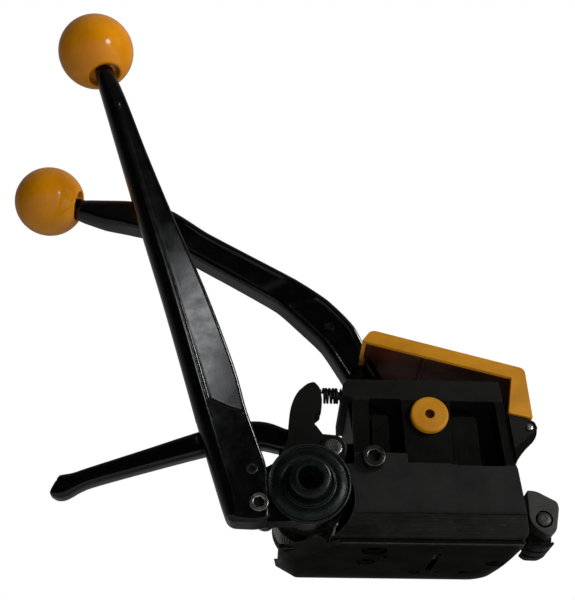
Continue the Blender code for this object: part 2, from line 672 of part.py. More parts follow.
def sealing_lever():
    """Gooseneck blade with a web, rooted on the sealing shaft."""
    made = bar("sealing_lever", SEAL_STATIONS, "gloss_black", 1.8)
    join(made, tang("sealing_tang", SEAL_KNOB, (-160.0, 197.0), SEAL_KNOB_RADIUS))
    root = [(-12.8, 86.0), (-26.4, 78.4), (-6.8, 55.0), SEAL_AXIS, (9.2, 62.8)]
    join(made, slab("lever_root", root, 2.2, 13.8, "tool_steel"))
    join(made, hole("lever_hub", SEAL_AXIS, 9.2, 2.0, 14.0, 28))
    cut(made, hole("lever_hub_bore", SEAL_AXIS, SEAL_SHAFT_RADIUS + GAP, -10, 30, 24))
    cut(made, hole("lever_pin_bore", LEVER_PIN, 2.8, -10, 30, 16))
    web = [(x, z, y - 7.6, width - 5.4, 7.2) for x, z, y, width, _ in SEAL_STATIONS[4:8]]
    root_web = [
        (-50.6, 135.4, 0.4, 9.0, 7.2), (-35.2, 117.4, 0.4, 11.6, 7.2), (-25.6, 97.6, 0.4, 11.0, 7.2),
    ]
    cut(made, bar("lever_web", web, "tool_steel", 0.5))
    return cut(made, bar("root_web", root_web, "tool_steel", 0.5))


def sealing_parts():
    """Knob, shaft, cam, cap and cross pin of the sealing lever."""
    aim = lever_axis(SEAL_KNOB, (-160.0, 197.0))
    knob("sealing_knob", SEAL_KNOB, aim, SEAL_KNOB_RADIUS, 8.4, "amber_knob")
    pin("sealing_shaft", SEAL_AXIS, SEAL_SHAFT_RADIUS, -25.0, 21.7, "tool_steel", 28, 0.5)
    pin("lever_cross_pin", LEVER_PIN, 2.5, 1.8, 14.2, "bright_steel", 16)
    cap = [
        (2.1, -28.4), (7.9, -28.4), (8.7, -27.6), (8.7, -25.3), (2.1, -25.3),
    ]
    turned("shaft_cap", (SEAL_AXIS[0], 0, SEAL_AXIS[1]), (0, 1, 0), cap, 28, "amber_plastic", loop=True)
    points = arc(SEAL_AXIS, 9.0, 36, 246, 18)
    steps = 16
    for i in range(steps + 1):
        share = i / steps
        reach = CAM_LOW + CAM_RISE * min(share * 112.0 / CAM_SWEEP, 1.1)
        points.append(polar(SEAL_AXIS, reach, -96.0 + 112.0 * share))
    sleeve("sealing_cam", points, SEAL_SHAFT_RADIUS + GAP, -7.4, 1.4, SEAL_AXIS, "tool_steel")


def punch_parts():
    """Punch holder, two notching punches, cutter and return springs."""
    block("punch_holder", (-11.4, -7.4, HOLDER_FOOT), (27.4, 15.4, HOLDER_TOP), "tool_steel")
    for name, x in (("cutter_blade", -0.4), ("notch_punch_left", 6.6), ("notch_punch_right", 14.6)):
        width = 1.6 if name == "cutter_blade" else 3.0
        tip = [(x - width, 12.0), (x, CHANNEL_ROOF + 0.6), (x + width, 12.0)]
        outline = tip + [(x + width, HOLDER_FOOT - GAP), (x - width, HOLDER_FOOT - GAP)]
        slab(name, outline, -6.4, 14.4, "tool_steel")
    length = HOLDER_FOOT - BODY_FOOT - 2 * GAP
    for name, x in (("return_spring_left", -8.0), ("return_spring_right", 24.0)):
        start = (x, 4.0, BODY_FOOT + GAP)
        coil(name, start, (0, 0, 1), length, 2.6, 0.45, 3, "spring_steel", 10, 5)


# ------------------------------------------------------ lid, guide, spring

def lid():
    """Amber cover: top sheet, skirts, right wall, cross rib and hinge lugs."""
    face = [
        (-23.4, 103.0), (-27.9, 97.1), (37.9, 79.9), (40.6, 79.3), (37.6, 61.6),
        (48.5, 58.9), (47.4, 82.6), (46.0, 84.3),
    ]
    made = slab("lid", face, -26.5, 21.8, "amber_plastic")
    room = [
        (-22.6, 100.7), (-26.2, 96.2), (-30.0, 80.0), (37.0, 50.0), (46.0, 50.0),
        (46.3, 58.0), (45.4, 82.2),
    ]
    cut(made, slab("lid_room", room, -24.3, 19.6, "tool_steel"))
    notch = box_outline((-40.0, 80.0), (-17.2, 110.0))
    cut(made, slab("lever_notch", notch, 0.8, 15.8, "tool_steel"))
    trim = box_outline((-45.0, 84.0), (-22.0, 98.0))
    cut(made, slab("skirt_trim", trim, -7.0, 1.4, "tool_steel"))
    rib = [(-1.0, 96.0), (-1.9, 93.0), (0.5, 92.4), (1.4, 95.3)]
    join(made, slab("lid_rib", rib, -25.0, 20.4, "tool_steel"))
    lug = arc(LID_PIN, 3.2, 180, 360, 8) + [(48.3, 60.0), (46.9, 72.0), (44.6, 72.0)]
    join(made, slab("lug_front", lug, -22.1, -18.6, "tool_steel"))
    join(made, slab("lug_rear", lug, 14.2, 17.7, "tool_steel"))
    return cut(made, hole("lid_pin_bore", LID_PIN, 2.0, -30, 30, 16))


def strap_guide():
    """Rear guide: knuckle plate at the front, and the polished shoe."""
    knuckle = [
        (42.2, 25.4), (41.9, 10.2), (49.8, 4.4), (53.4, 7.2), (55.6, 17.4),
        (55.2, 20.2), (46.4, 25.0),
    ]
    made = slab("strap_guide", knuckle, -25.0, -16.6, "worn_steel")
    web = [(42.6, 12.0), (42.4, 3.4), (52.2, 3.4), (53.2, 9.0)]
    join(made, slab("guide_web", web, -18.6, -14.6, "tool_steel"))
    rear = arc(GUIDE_PIN, 5.0, -20, 200, 12) + [(44.0, 3.0), (51.6, 3.0)]
    join(made, slab("guide_rear", rear, -3.4, 1.8, "tool_steel"))
    shoe = [(42.2, 3.6), (44.4, 1.9), (50.4, 1.8), (53.6, 3.4), (52.6, 4.8), (42.6, 4.8)]
    join(made, slab("guide_shoe", shoe, -16.6, 2.6, "tool_steel"))
    return cut(made, hole("guide_bore", GUIDE_PIN, 3.2 + 0.1, -30, 30, 24))


def rocker_spring():
    start = (-46.9, SPRING_Y, SPRING_Z)
    return coil("rocker_spring", start, (1, 0, 0), 8.0, 3.0, 0.5, 5, "spring_steel", 12, 5)


# ---------------------------------------------------------------- assembly

MOVING = {
    "rocker": (ROCKER_PIN, ("rocker_frame", "rocker_handle", "front_bush", "rear_bush",
                            "handle_screw_low", "handle_screw_high", "holding_pawl_pin",
                            "rocker_spring")),
    "holding_pawl": (HOLDING_PAWL_PIN, ("holding_pawl",)),
    "tension_lever": (HUB, ("tension_lever", "tension_knob", "ratchet_cover",
                            "drive_pawl_screw", "stop_screw")),
    "drive_pawl": (DRIVE_PAWL_PIN, ("drive_pawl",)),
    "feed_shaft": (HUB, ("feed_shaft", "feed_wheel", "drive_ratchet", "holding_ratchet")),
    "sealing_lever": (SEAL_AXIS, ("sealing_lever", "sealing_knob", "sealing_shaft",
                                  "lever_cross_pin", "shaft_cap", "sealing_cam")),
    "punch_slide": ((7.0, HOLDER_FOOT), ("punch_holder", "cutter_blade", "notch_punch_left",
                                         "notch_punch_right")),
    "lid": (LID_PIN, ("lid",)),
    "strap_guide": (GUIDE_PIN, ("strap_guide",)),
}


def hang_on_axes():
    """Parents every moving piece to an empty on its joint's axis."""
    for body, (axis, names) in MOVING.items():
        empty = bpy.data.objects.new(body + "_axis", None)
        bpy.context.scene.collection.objects.link(empty)
        empty.location = Vector((axis[0], 0, axis[1])) * MM
        inverse = Matrix.Translation(-empty.location)
        for name in names:
            piece = bpy.data.objects[name]
            piece.parent = empty
            piece.matrix_parent_inverse = inverse


def main():
    for old in list(bpy.data.objects):
        bpy.data.objects.remove(old, do_unlink=True)
    body_casting()
    base_plate()
    side_rail()
    insert("gripper_plate", (-66.0, -8.0), (-43.0, 14.0), (), "tool_steel")
    die_plate()
    fixed_fasteners()
    lid_bracket()
    rocker_frame()
    rocker_handle()
    rocker_parts()
    holding_pawl()
    tension_lever()
    drive_pawl()
    tension_parts()
    feed_shaft_parts()
    sealing_lever()
    sealing_parts()
    punch_parts()
    lid()
    strap_guide()
    rocker_spring()
    hang_on_axes()


main()
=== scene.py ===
"""Looks of the hand strapping tensioner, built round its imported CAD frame.

Shapes are written in millimetres in the frame of the part: X along the strap,
Y away from the tension lever's side, Z up from the sole.
"""

import math

import bmesh
import bpy
from mathutils import Matrix, Quaternion, Vector

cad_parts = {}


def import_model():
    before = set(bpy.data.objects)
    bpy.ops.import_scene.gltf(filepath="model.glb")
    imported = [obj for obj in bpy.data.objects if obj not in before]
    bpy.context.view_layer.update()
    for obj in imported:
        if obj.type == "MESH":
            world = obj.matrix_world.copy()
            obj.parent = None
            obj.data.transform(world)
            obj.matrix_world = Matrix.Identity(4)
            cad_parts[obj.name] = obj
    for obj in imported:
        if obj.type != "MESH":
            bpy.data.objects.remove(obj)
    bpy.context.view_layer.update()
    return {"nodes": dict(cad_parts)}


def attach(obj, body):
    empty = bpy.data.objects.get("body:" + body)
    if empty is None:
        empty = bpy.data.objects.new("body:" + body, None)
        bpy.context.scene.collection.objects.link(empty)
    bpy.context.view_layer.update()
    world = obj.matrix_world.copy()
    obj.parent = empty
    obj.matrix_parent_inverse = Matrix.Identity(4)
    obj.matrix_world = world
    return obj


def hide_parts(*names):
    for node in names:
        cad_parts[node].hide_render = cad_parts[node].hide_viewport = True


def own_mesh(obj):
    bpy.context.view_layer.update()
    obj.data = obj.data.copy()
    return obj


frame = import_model()

MM = 0.001
HUB = (-53.8, 20.6)
ROCKER_PIN = (-42.7, 41.6)
SEAL_AXIS = (1.4, 59.5)
LID_PIN = (46.6, 54.7)
GUIDE_PIN = (48.4, 12.3)
DRIVE_PAWL_PIN = (-74.8, 10.9)
HOLDING_PAWL_PIN = (-72.0, 13.0)
STOP_SCREW = (-78.0, 25.6)
FRONT_SCREW = (-24.8, 37.7)
LEVER_PIN = (-41.0, 120.0)
HANDLE_SCREWS = ((-60.6, 47.6), (-53.6, 47.4))
RIGHTWARD, BACKWARD, UPWARD = (1, 0, 0), (0, 1, 0), (0, 0, 1)
THROUGH = (-30.0, 30.0)
BODY_FRONT, BODY_BACK = -25.0, 22.0
LEVER_FRONT, LEVER_BACK = -46.0, -33.0
CAGE_FRONT, PAWL_ROOM_BACK = -41.4, -35.0
HUB_ROOM = 20.5
SHAFT_BORE = 6.3
DRIVE_FLANK = 152.0
BRACKET_SCREWS = ((37.0, 46.0), (36.0, 58.0))
RAIL_SCREW = (-24.6, -16.2)
RAIL_DOWEL = (3.4, -21.1)
DIE_SCREWS = ((-27.0, 0.0), (30.9, 0.3))
DIE_DOWELS = ((-3.2, 15.7), (19.1, 14.7))
SMALL_HOLES = ((-19.1, -7.4, 1.4), (7.1, 15.3, 1.2))
SPRING_Y = -21.5
SPRING_Z = 70.6
TENSION_KNOB = (-166.2, -39.5, 261.6)
SEAL_KNOB = (-193.0, 16.0, 202.6)
TENSION_NECK = (-152.7, 225.0)
SEAL_NECK = (-160.0, 197.0)
TENSION_BALL, SEAL_BALL = 19.78, 18.85

TENSION_STATIONS = (
    (-160.4, 246.0, 9.4), (-152.7, 225.0, 11.2), (-140.5, 190.0, 13.2),
    (-126.0, 150.0, 16.4), (-111.0, 110.0, 20.0), (-97.7, 71.0, 22.3), (-91.6, 50.0, 21.8),
)
SEAL_STATIONS = (
    (-178.4, 197.4, 16.0, 9.6, 8.8), (-172.0, 196.2, 16.0, 13.2, 10.4),
    (-160.0, 194.0, 16.0, 16.4, 11.4), (-146.0, 191.6, 15.0, 17.2, 12.0),
    (-128.0, 184.0, 11.0, 16.6, 12.0), (-109.0, 168.6, 8.4, 17.2, 12.0),
    (-86.0, 154.6, 8.0, 17.4, 12.0), (-62.4, 140.2, 8.0, 18.2, 12.0),
    (-48.6, 128.6, 8.0, 20.6, 12.0), (-36.8, 115.6, 8.0, 20.0, 12.0),
    (-27.4, 97.0, 8.0, 17.2, 12.0), (-18.6, 80.0, 8.0, 17.0, 12.0),
)
HANDLE_STATIONS = (
    (-164.8, 25.4, -19.7, 5.6, 4.4), (-163.6, 25.0, -19.7, 9.0, 6.6),
    (-161.4, 25.0, -19.7, 10.6, 7.8), (-158.6, 26.0, -19.7, 10.0, 8.0),
    (-154.6, 27.7, -19.7, 8.3, 8.0), (-148.0, 30.4, -19.7, 8.0, 8.0),
    (-126.0, 37.9, -19.7, 9.2, 8.0), (-100.0, 46.6, -19.7, 11.2, 8.0),
    (-86.0, 50.2, -19.7, 12.2, 8.0), (-74.0, 50.8, -19.7, 12.6, 8.0),
    (-63.0, 48.0, -19.7, 11.0, 8.0), (-50.4, 47.2, -19.7, 9.6, 8.0),
)


# ------------------------------------------------------------- materials

class Nodes:
    """A short way to write a procedural material. Lengths are in mm."""

    edge_reach = 0.7
    edge_turn = (0.02, 0.22)
    mix_first, mix_second, mix_result = 6, 7, 2

    def __init__(self, name):
        self.material = bpy.data.materials.new(name)
        self.material.use_nodes = True
        self.tree = self.material.node_tree
        self.shader = self.tree.nodes["Principled BSDF"]
        place = self.new("TexCoord")
        scale = self.new("VectorMath")
        scale.operation = "SCALE"
        scale.inputs["Scale"].default_value = 1 / MM
        self.link(place.outputs["Object"], scale.inputs[0])
        self.place = scale.outputs[0]

    def new(self, kind, **inputs):
        """Adds a node and sets its inputs. An underscore stands for a space."""
        node = self.tree.nodes.new("ShaderNode" + kind)
        for name, value in inputs.items():
            node.inputs[name.replace("_", " ")].default_value = value
        return node

    def link(self, value, socket):
        if isinstance(value, bpy.types.NodeSocket):
            self.tree.links.new(value, socket)
        else:
            socket.default_value = value

    def moved(self, offset=(0, 0, 0), stretch=(1, 1, 1), turn=(0, 0, 0)):
        node = self.new("Mapping", Location=offset, Scale=stretch, Rotation=turn)
        self.link(self.place, node.inputs["Vector"])
        return node.outputs[0]

    def noise(self, scale, detail=3.0, rough=0.55, place=None, warp=0.0):
        node = self.new("TexNoise", Scale=scale, Detail=detail, Roughness=rough, Distortion=warp)
        self.link(place or self.place, node.inputs["Vector"])
        return node.outputs["Fac"]

    def cells(self, scale):
        node = self.new("TexVoronoi", Scale=scale)
        self.link(self.place, node.inputs["Vector"])
        return node.outputs["Distance"]

    def rings(self, scale, place, warp):
        """Rings about the Y axis."""
        node = self.new("TexWave", Scale=scale, Distortion=warp, Detail=2.0)
        node.wave_type = "RINGS"
        node.rings_direction = "Y"
        self.link(place, node.inputs["Vector"])
        return node.outputs["Fac"]

    def edges(self):
        """Where the surface turns within a short reach, as along a worn edge."""
        soft = self.new("Bevel", Radius=self.edge_reach * MM)
        soft.samples = 4
        flat = self.new("NewGeometry")
        both = self.new("VectorMath")
        both.operation = "DOT_PRODUCT"
        self.link(soft.outputs["Normal"], both.inputs[0])
        self.link(flat.outputs["Normal"], both.inputs[1])
        return self.spread(self.maths("SUBTRACT", 1.0, both.outputs["Value"]), *self.edge_turn)

    def spread(self, value, low, high, out_low=0.0, out_high=1.0):
        node = self.new("MapRange", From_Min=low, From_Max=high, To_Min=out_low, To_Max=out_high)
        node.interpolation_type = "SMOOTHSTEP"
        self.link(value, node.inputs["Value"])
        return node.outputs[0]

    def maths(self, kind, first, second):
        node = self.new("Math")
        node.operation = kind
        node.use_clamp = kind == "ADD"
        self.link(first, node.inputs[0])
        self.link(second, node.inputs[1])
        return node.outputs[0]

    def blend(self, share, first, second):
        node = self.new("Mix")
        node.data_type = "RGBA"
        self.link(share, node.inputs["Factor"])
        for place, value in ((self.mix_first, first), (self.mix_second, second)):
            self.link((*value, 1.0) if isinstance(value, tuple) else value, node.inputs[place])
        return node.outputs[self.mix_result]

    def bump(self, height, depth, strength=1.0, below=None):
        """Depth is the height of the relief in millimetres."""
        node = self.new("Bump", Strength=strength, Distance=depth * MM)
        self.link(height, node.inputs["Height"])
        if below:
            self.link(below, node.inputs["Normal"])
        return node.outputs[0]

    def done(self, colour=None, rough=None, normal=None, **fixed):
        names = {"Base Color": colour, "Roughness": rough, "Normal": normal}
        for name, value in names.items():
            if value is not None:
                self.link(value, self.shader.inputs[name])
        for name, value in fixed.items():
            self.shader.inputs[name.replace("_", " ")].default_value = value
        return self.material


def cast_black(name, dark, light, worn, grain=0.05, gloss=0.10):
    """Blackened casting: fine grain, soft blotches and rubbed edges."""
    n = Nodes(name)
    blotch = n.noise(0.06, 5.0, 0.65)
    fine = n.noise(1.7, 3.0, 0.65)
    pits = n.spread(n.cells(1.15), 0.05, 0.35)
    colour = n.blend(n.spread(blotch, 0.3, 0.7), dark, light)
    colour = n.blend(n.spread(fine, 0.46, 0.72, 0.0, 0.75), colour, light)
    rub = n.maths("MULTIPLY", n.edges(), n.spread(n.noise(0.45, 4.0), 0.38, 0.62))
    dust = n.spread(n.noise(0.30, 6.0, 0.80), 0.56, 0.80, 0.0, 0.16)
    colour = n.blend(n.maths("ADD", rub, dust), colour, worn)
    rough = n.spread(fine, 0.3, 0.75, 0.46, 0.66)
    normal = n.bump(fine, grain, 0.8)
    normal = n.bump(pits, grain * 0.7, 0.5, normal)
    return n.done(colour, rough, normal, Specular_IOR_Level=gloss)


def gloss_black():
    """Black enamel over a forging: slow waves, fine peel and dust."""
    n = Nodes("gloss_black_enamel")
    wave = n.noise(0.05, 2.0, 0.5)
    peel = n.noise(0.8, 2.0, 0.5)
    specks = n.spread(n.noise(1.9, 2.0, 0.5), 0.72, 0.80)
    haze = n.noise(0.16, 5.0, 0.65)
    colour = n.blend(n.spread(haze, 0.35, 0.75), (0.0004, 0.0004, 0.0005), (0.0013, 0.0013, 0.0014))
    colour = n.blend(n.maths("MULTIPLY", specks, 0.5), colour, (0.03, 0.03, 0.028))
    rough = n.spread(haze, 0.3, 0.8, 0.12, 0.22)
    normal = n.bump(wave, 0.22, 0.5)
    normal = n.bump(peel, 0.004, 0.6, normal)
    return n.done(colour, rough, normal)


def worn_rail():
    """Hardened rail: dark olive grey, with long scratches and stains."""
    n = Nodes("worn_rail_steel")
    long = n.noise(0.8, 5.0, 0.7, n.moved(stretch=(0.06, 1.0, 1.6)))
    patch = n.noise(0.11, 5.0, 0.65)
    slanted = n.moved(stretch=(0.10, 1.0, 1.0), turn=(0, 0.5, 0))
    scratch = n.spread(n.noise(2.4, 2.0, 0.6, slanted), 0.66, 0.72)
    colour = n.blend(n.spread(patch, 0.35, 0.65), (0.0024, 0.0024, 0.0021), (0.0072, 0.0075, 0.0066))
    colour = n.blend(n.spread(long, 0.45, 0.7, 0.0, 0.6), colour, (0.0145, 0.0147, 0.0132))
    colour = n.blend(n.maths("MULTIPLY", scratch, 0.5), colour, (0.055, 0.053, 0.048))
    colour = n.blend(n.edges(), colour, (0.040, 0.039, 0.035))
    rough = n.spread(long, 0.3, 0.75, 0.36, 0.58)
    normal = n.bump(long, 0.03, 0.7)
    normal = n.bump(scratch, -0.02, 0.6, normal)
    return n.done(colour, rough, normal, Metallic=0.0, Specular_IOR_Level=0.14)


def turned_steel(name, dark, light, rough, centre, metal=0.9, pitch=0.9):
    """Lathe-turned steel with fine rings about an axis along Y."""
    n = Nodes(name)
    place = n.moved(offset=(-centre[0], 0, -centre[1]))
    rings = n.rings(pitch, place, 0.4)
    patch = n.noise(0.16, 4.0, 0.6)
    fine = n.noise(1.4, 4.0, 0.6)
    colour = n.blend(n.spread(patch, 0.3, 0.7), dark, light)
    colour = n.blend(n.spread(rings, 0.2, 0.9, 0.0, 0.30), colour, light)
    colour = n.blend(n.edges(), colour, tuple(min(1.0, c * 2.4) for c in light))
    grime = n.spread(fine, 0.58, 0.72, 0.0, 0.5)
    colour = n.blend(grime, colour, tuple(c * 0.45 for c in dark))
    shine = n.spread(fine, 0.3, 0.75, rough * 0.75, rough * 1.35)
    normal = n.bump(rings, 0.012, 0.7)
    normal = n.bump(fine, 0.004, 0.5, normal)
    return n.done(colour, shine, normal, Metallic=metal)


def ground_steel(name, dark, light, rough, metal=0.95):
    """Ground or drawn steel with short scratches and slight staining."""
    n = Nodes(name)
    drag = n.noise(1.9, 4.0, 0.65, n.moved(stretch=(0.2, 1.0, 1.0), turn=(0.3, 0.4, 0.9)))
    patch = n.noise(0.22, 4.0, 0.6)
    colour = n.blend(n.spread(patch, 0.3, 0.7), dark, light)
    colour = n.blend(n.spread(drag, 0.55, 0.75, 0.0, 0.5), colour, tuple(c * 0.55 for c in dark))
    colour = n.blend(n.edges(), colour, tuple(min(1.0, c * 1.6) for c in light))
    shine = n.spread(drag, 0.3, 0.75, rough * 0.7, rough * 1.4)
    normal = n.bump(drag, 0.012, 0.6)
    return n.done(colour, shine, normal, Metallic=metal)


def amber(name, base, deep, rough, peel):
    """Amber moulded plastic: slight mottling, scuffs and flow marks."""
    n = Nodes(name)
    cloud = n.noise(0.055, 3.0, 0.5, warp=0.6)
    fine = n.noise(1.3, 3.0, 0.6)
    slanted = n.moved(stretch=(0.35, 1.0, 1.0), turn=(0, 0.6, 0))
    scuff = n.spread(n.noise(1.1, 5.0, 0.75, slanted), 0.64, 0.74)
    dirt = n.spread(n.noise(0.6, 6.0, 0.8), 0.66, 0.80, 0.0, 0.35)
    colour = n.blend(n.spread(cloud, 0.3, 0.7), deep, base)
    colour = n.blend(dirt, colour, tuple(c * 0.45 for c in deep))
    shine = n.maths("ADD", n.spread(fine, 0.3, 0.7, rough * 0.8, rough * 1.2),
                    n.maths("MULTIPLY", scuff, 0.22))
    normal = n.bump(fine, peel, 0.6)
    normal = n.bump(scuff, -0.006, 0.5, normal)
    return n.done(colour, shine, normal, Specular_IOR_Level=0.35)


def painted_shade_fill():
    """Painted shade: a dark fill for the bottom of a socket, and for other holes and hollows."""
    n = Nodes("socket_grease")
    fine = n.noise(1.5, 3.0, 0.6)
    colour = n.blend(fine, (0.0022, 0.0020, 0.0018), (0.007, 0.006, 0.005))
    rough = n.spread(fine, 0.3, 0.7, 0.35, 0.6)
    return n.done(colour, rough, n.bump(fine, 0.03, 0.6), Specular_IOR_Level=0.3)


def shaded_amber():
    """The inner faces of the cover: the same plastic, darkened brown as painted shade."""
    n = Nodes("amber_inside")
    cloud = n.noise(0.12, 4.0, 0.6)
    fine = n.noise(1.6, 3.0, 0.6)
    colour = n.blend(n.spread(cloud, 0.3, 0.7), (0.060, 0.012, 0.0035), (0.105, 0.026, 0.006))
    rough = n.spread(fine, 0.3, 0.7, 0.5, 0.65)
    return n.done(colour, rough, n.bump(fine, 0.02, 0.6), Specular_IOR_Level=0.15)


def spring_wire():
    """Oiled dark wire."""
    n = Nodes("spring_wire")
    fine = n.noise(2.2, 3.0, 0.6)
    colour = n.blend(n.spread(fine, 0.4, 0.7), (0.004, 0.004, 0.0045), (0.022, 0.022, 0.023))
    rough = n.spread(fine, 0.3, 0.7, 0.22, 0.4)
    return n.done(colour, rough, n.bump(fine, 0.01, 0.5), Metallic=0.7)


def pale_floor():
    """A pale sheet that is clear from below, for the low camera."""
    n = Nodes("pale_floor")
    fine = n.noise(0.02, 3.0, 0.5)
    n.done(n.blend(fine, (0.78, 0.78, 0.775), (0.82, 0.82, 0.815)), 0.7)
    clear = n.new("BsdfTransparent")
    side = n.new("NewGeometry")
    mix = n.new("MixShader")
    n.link(side.outputs["Backfacing"], mix.inputs[0])
    n.link(n.shader.outputs[0], mix.inputs[1])
    n.link(clear.outputs[0], mix.inputs[2])
    n.link(mix.outputs[0], n.tree.nodes["Material Output"].inputs["Surface"])
    return n.material


CASTING = cast_black(
    "cast_black", (0.0042, 0.0047, 0.0042), (0.0098, 0.0108, 0.0098), (0.030, 0.032, 0.029),
)
# Painted light: a lighter copy of the casting, so the skirt reads as better lit.
SKIRT_PAINTED_LIGHT = cast_black(
    "skirt_black", (0.0085, 0.0095, 0.0088), (0.0150, 0.0166, 0.0155), (0.040, 0.043, 0.040),
)
# Painted shade: a darker copy of the casting for pockets, creases, rebates and hollows.
RECESS_PAINTED_SHADE = cast_black(
    "recess_black", (0.0020, 0.0021, 0.0019), (0.0052, 0.0054, 0.0048), (0.014, 0.014, 0.013), 0.05, 0.05,
)
SOLE = cast_black(
    "sole_black", (0.0105, 0.0112, 0.010), (0.023, 0.0245, 0.022), (0.06, 0.06, 0.055), 0.03, 0.22,
)
ROCKER = cast_black(
    "rocker_black", (0.0022, 0.0023, 0.0020), (0.0052, 0.0054, 0.0048), (0.022, 0.022, 0.020), 0.03, 0.08,
)
ENAMEL = gloss_black()
RAIL = worn_rail()
HUB_STEEL = turned_steel("hub_steel", (0.008, 0.0105, 0.0100), (0.023, 0.031, 0.030), 0.30, HUB, 0.85)
KNUCKLE = turned_steel(
    "knuckle_steel", (0.0065, 0.0070, 0.0064), (0.021, 0.0225, 0.0205), 0.45, GUIDE_PIN, 0.2,
)
GUIDE_STEEL = cast_black(
    "guide_steel", (0.0014, 0.0014, 0.0013), (0.0042, 0.0042, 0.0038), (0.020, 0.020, 0.018), 0.03, 0.08,
)
PIN_STEEL = turned_steel(
    "guide_pin_steel", (0.018, 0.019, 0.018), (0.042, 0.044, 0.042), 0.36, GUIDE_PIN, 0.5, 1.4,
)
ROCKER_PIN_STEEL = turned_steel(
    "rocker_pin_steel", (0.20, 0.19, 0.16), (0.42, 0.40, 0.35), 0.28, ROCKER_PIN, 0.95,
)
SCREW_STEEL = ground_steel("screw_steel", (0.045, 0.046, 0.044), (0.15, 0.15, 0.142), 0.27)
DARK_SCREW = ground_steel("oiled_screw", (0.006, 0.006, 0.0055), (0.022, 0.022, 0.020), 0.42, 0.3)
BRIGHT = ground_steel("bright_steel", (0.22, 0.22, 0.205), (0.46, 0.455, 0.43), 0.26)
TOOL = ground_steel("tool_steel", (0.075, 0.075, 0.070), (0.19, 0.19, 0.18), 0.33)
SPRING = spring_wire()
BRONZE = ground_steel("bronze", (0.16, 0.085, 0.032), (0.34, 0.19, 0.075), 0.34)
KNOB = amber("amber_knob", (0.80, 0.30, 0.0035), (0.70, 0.24, 0.0025), 0.16, 0.003)
PAINTED_SHADE_FILL = painted_shade_fill()
AMBER_PAINTED_SHADE = shaded_amber()
COVER = amber("amber_cover", (0.54, 0.235, 0.0065), (0.43, 0.172, 0.004), 0.42, 0.015)


# -------------------------------------------------------------- geometry

def polar(centre, radius, degrees):
    angle = math.radians(degrees)
    return (centre[0] + radius * math.cos(angle), centre[1] + radius * math.sin(angle))


def arc(centre, radius, start, end, steps):
    turn = (end - start) / steps
    return [polar(centre, radius, start + turn * i) for i in range(steps + 1)]


def box_outline(low, high):
    return [low, (high[0], low[1]), high, (low[0], high[1])]


def rounded(outline, radius, steps=5):
    """Rounds an outline's corners. Radius is one number or one for each corner."""
    radii = radius if isinstance(radius, (list, tuple)) else [radius] * len(outline)
    made = []
    for i, corner in enumerate(outline):
        here = Vector(corner)
        before = Vector(outline[i - 1]) - here
        after = Vector(outline[(i + 1) % len(outline)]) - here
        reach = min(radii[i], before.length * 0.45, after.length * 0.45)
        if reach < 0.05:
            made.append(tuple(here))
            continue
        start = here + before.normalized() * reach
        end = here + after.normalized() * reach
        for k in range(steps + 1):
            t = k / steps
            made.append(tuple(start * (1 - t) ** 2 + here * 2 * t * (1 - t) + end * t * t))
    return made


def solid(name, rings, material, loop=False):
    """Joins rings of (x, y, z) points in mm into one closed skin."""
    bm = bmesh.new()
    rows = [[bm.verts.new(Vector(point) * MM) for point in ring] for ring in rings]
    count = len(rows[0])
    pairs = list(zip(rows, rows[1:]))
    if loop:
        pairs.append((rows[-1], rows[0]))
    else:
        bm.faces.new(rows[0])
        bm.faces.new(rows[-1])
    for first, second in pairs:
        for i in range(count):
            after = (i + 1) % count
            bm.faces.new((first[i], first[after], second[after], second[i]))
    bmesh.ops.recalc_face_normals(bm, faces=bm.faces)
    mesh = bpy.data.meshes.new(name)
    bm.to_mesh(mesh)
    bm.free()
    mesh.materials.append(material)
    made = bpy.data.objects.new(name, mesh)
    bpy.context.scene.collection.objects.link(made)
    return made


def slab(name, outline, y_front, y_back, material=CASTING):
    return solid(name, [[(x, y, z) for x, z in outline] for y in (y_front, y_back)], material)


def bar(name, profile, x_low, x_high, material):
    """A bar along X with a profile of (y, z) points."""
    return solid(name, [[(x, y, z) for y, z in profile] for x in (x_low, x_high)], material)


def plate(name, low, high, z_low, z_high, material=CASTING):
    rings = [[(x, y, z_low) for x, y in low], [(x, y, z_high) for x, y in high]]
    return solid(name, rings, material)


def block(name, low, high, material=CASTING):
    return slab(name, box_outline((low[0], low[2]), (high[0], high[2])), low[1], high[1], material)


def lathe(name, centre, axis, profile, sides, material, loop=False):
    axis = Vector(axis).normalized()
    across = axis.orthogonal().normalized()
    other = axis.cross(across)
    rings = []
    for radius, along in profile:
        middle = Vector(centre) + axis * along
        ring = []
        for i in range(sides):
            angle = math.tau * (i + 0.5) / sides
            out = across * math.cos(angle) + other * math.sin(angle)
            ring.append(middle + out * radius)
        rings.append(ring)
    return solid(name, rings, material, loop)


def turned(name, centre, profile, sides, material, loop=False):
    """A lathe about the line along Y through centre, an (x, z) pair."""
    return lathe(name, (centre[0], 0, centre[1]), (0, 1, 0), profile, sides, material, loop)


def drum(name, centre, radius, y_front, y_back, sides=48, material=CASTING):
    return turned(name, centre, [(radius, y_front), (radius, y_back)], sides, material)


def rod(name, start, radius, low, high, sides=24, material=CASTING):
    """A round bar along X, from low to high past its start."""
    return lathe(name, start, (1, 0, 0), [(radius, low), (radius, high)], sides, material)


def post(name, centre, radius, z_low, z_high, sides=32, material=CASTING):
    return lathe(name, (*centre, 0), (0, 0, 1), [(radius, z_low), (radius, z_high)], sides, material)


def settle(piece):
    """Bakes a piece's modifiers into its mesh."""
    graph = bpy.context.evaluated_depsgraph_get()
    graph.update()
    mesh = bpy.data.meshes.new_from_object(piece.evaluated_get(graph))
    piece.modifiers.clear()
    piece.data = mesh
    return piece


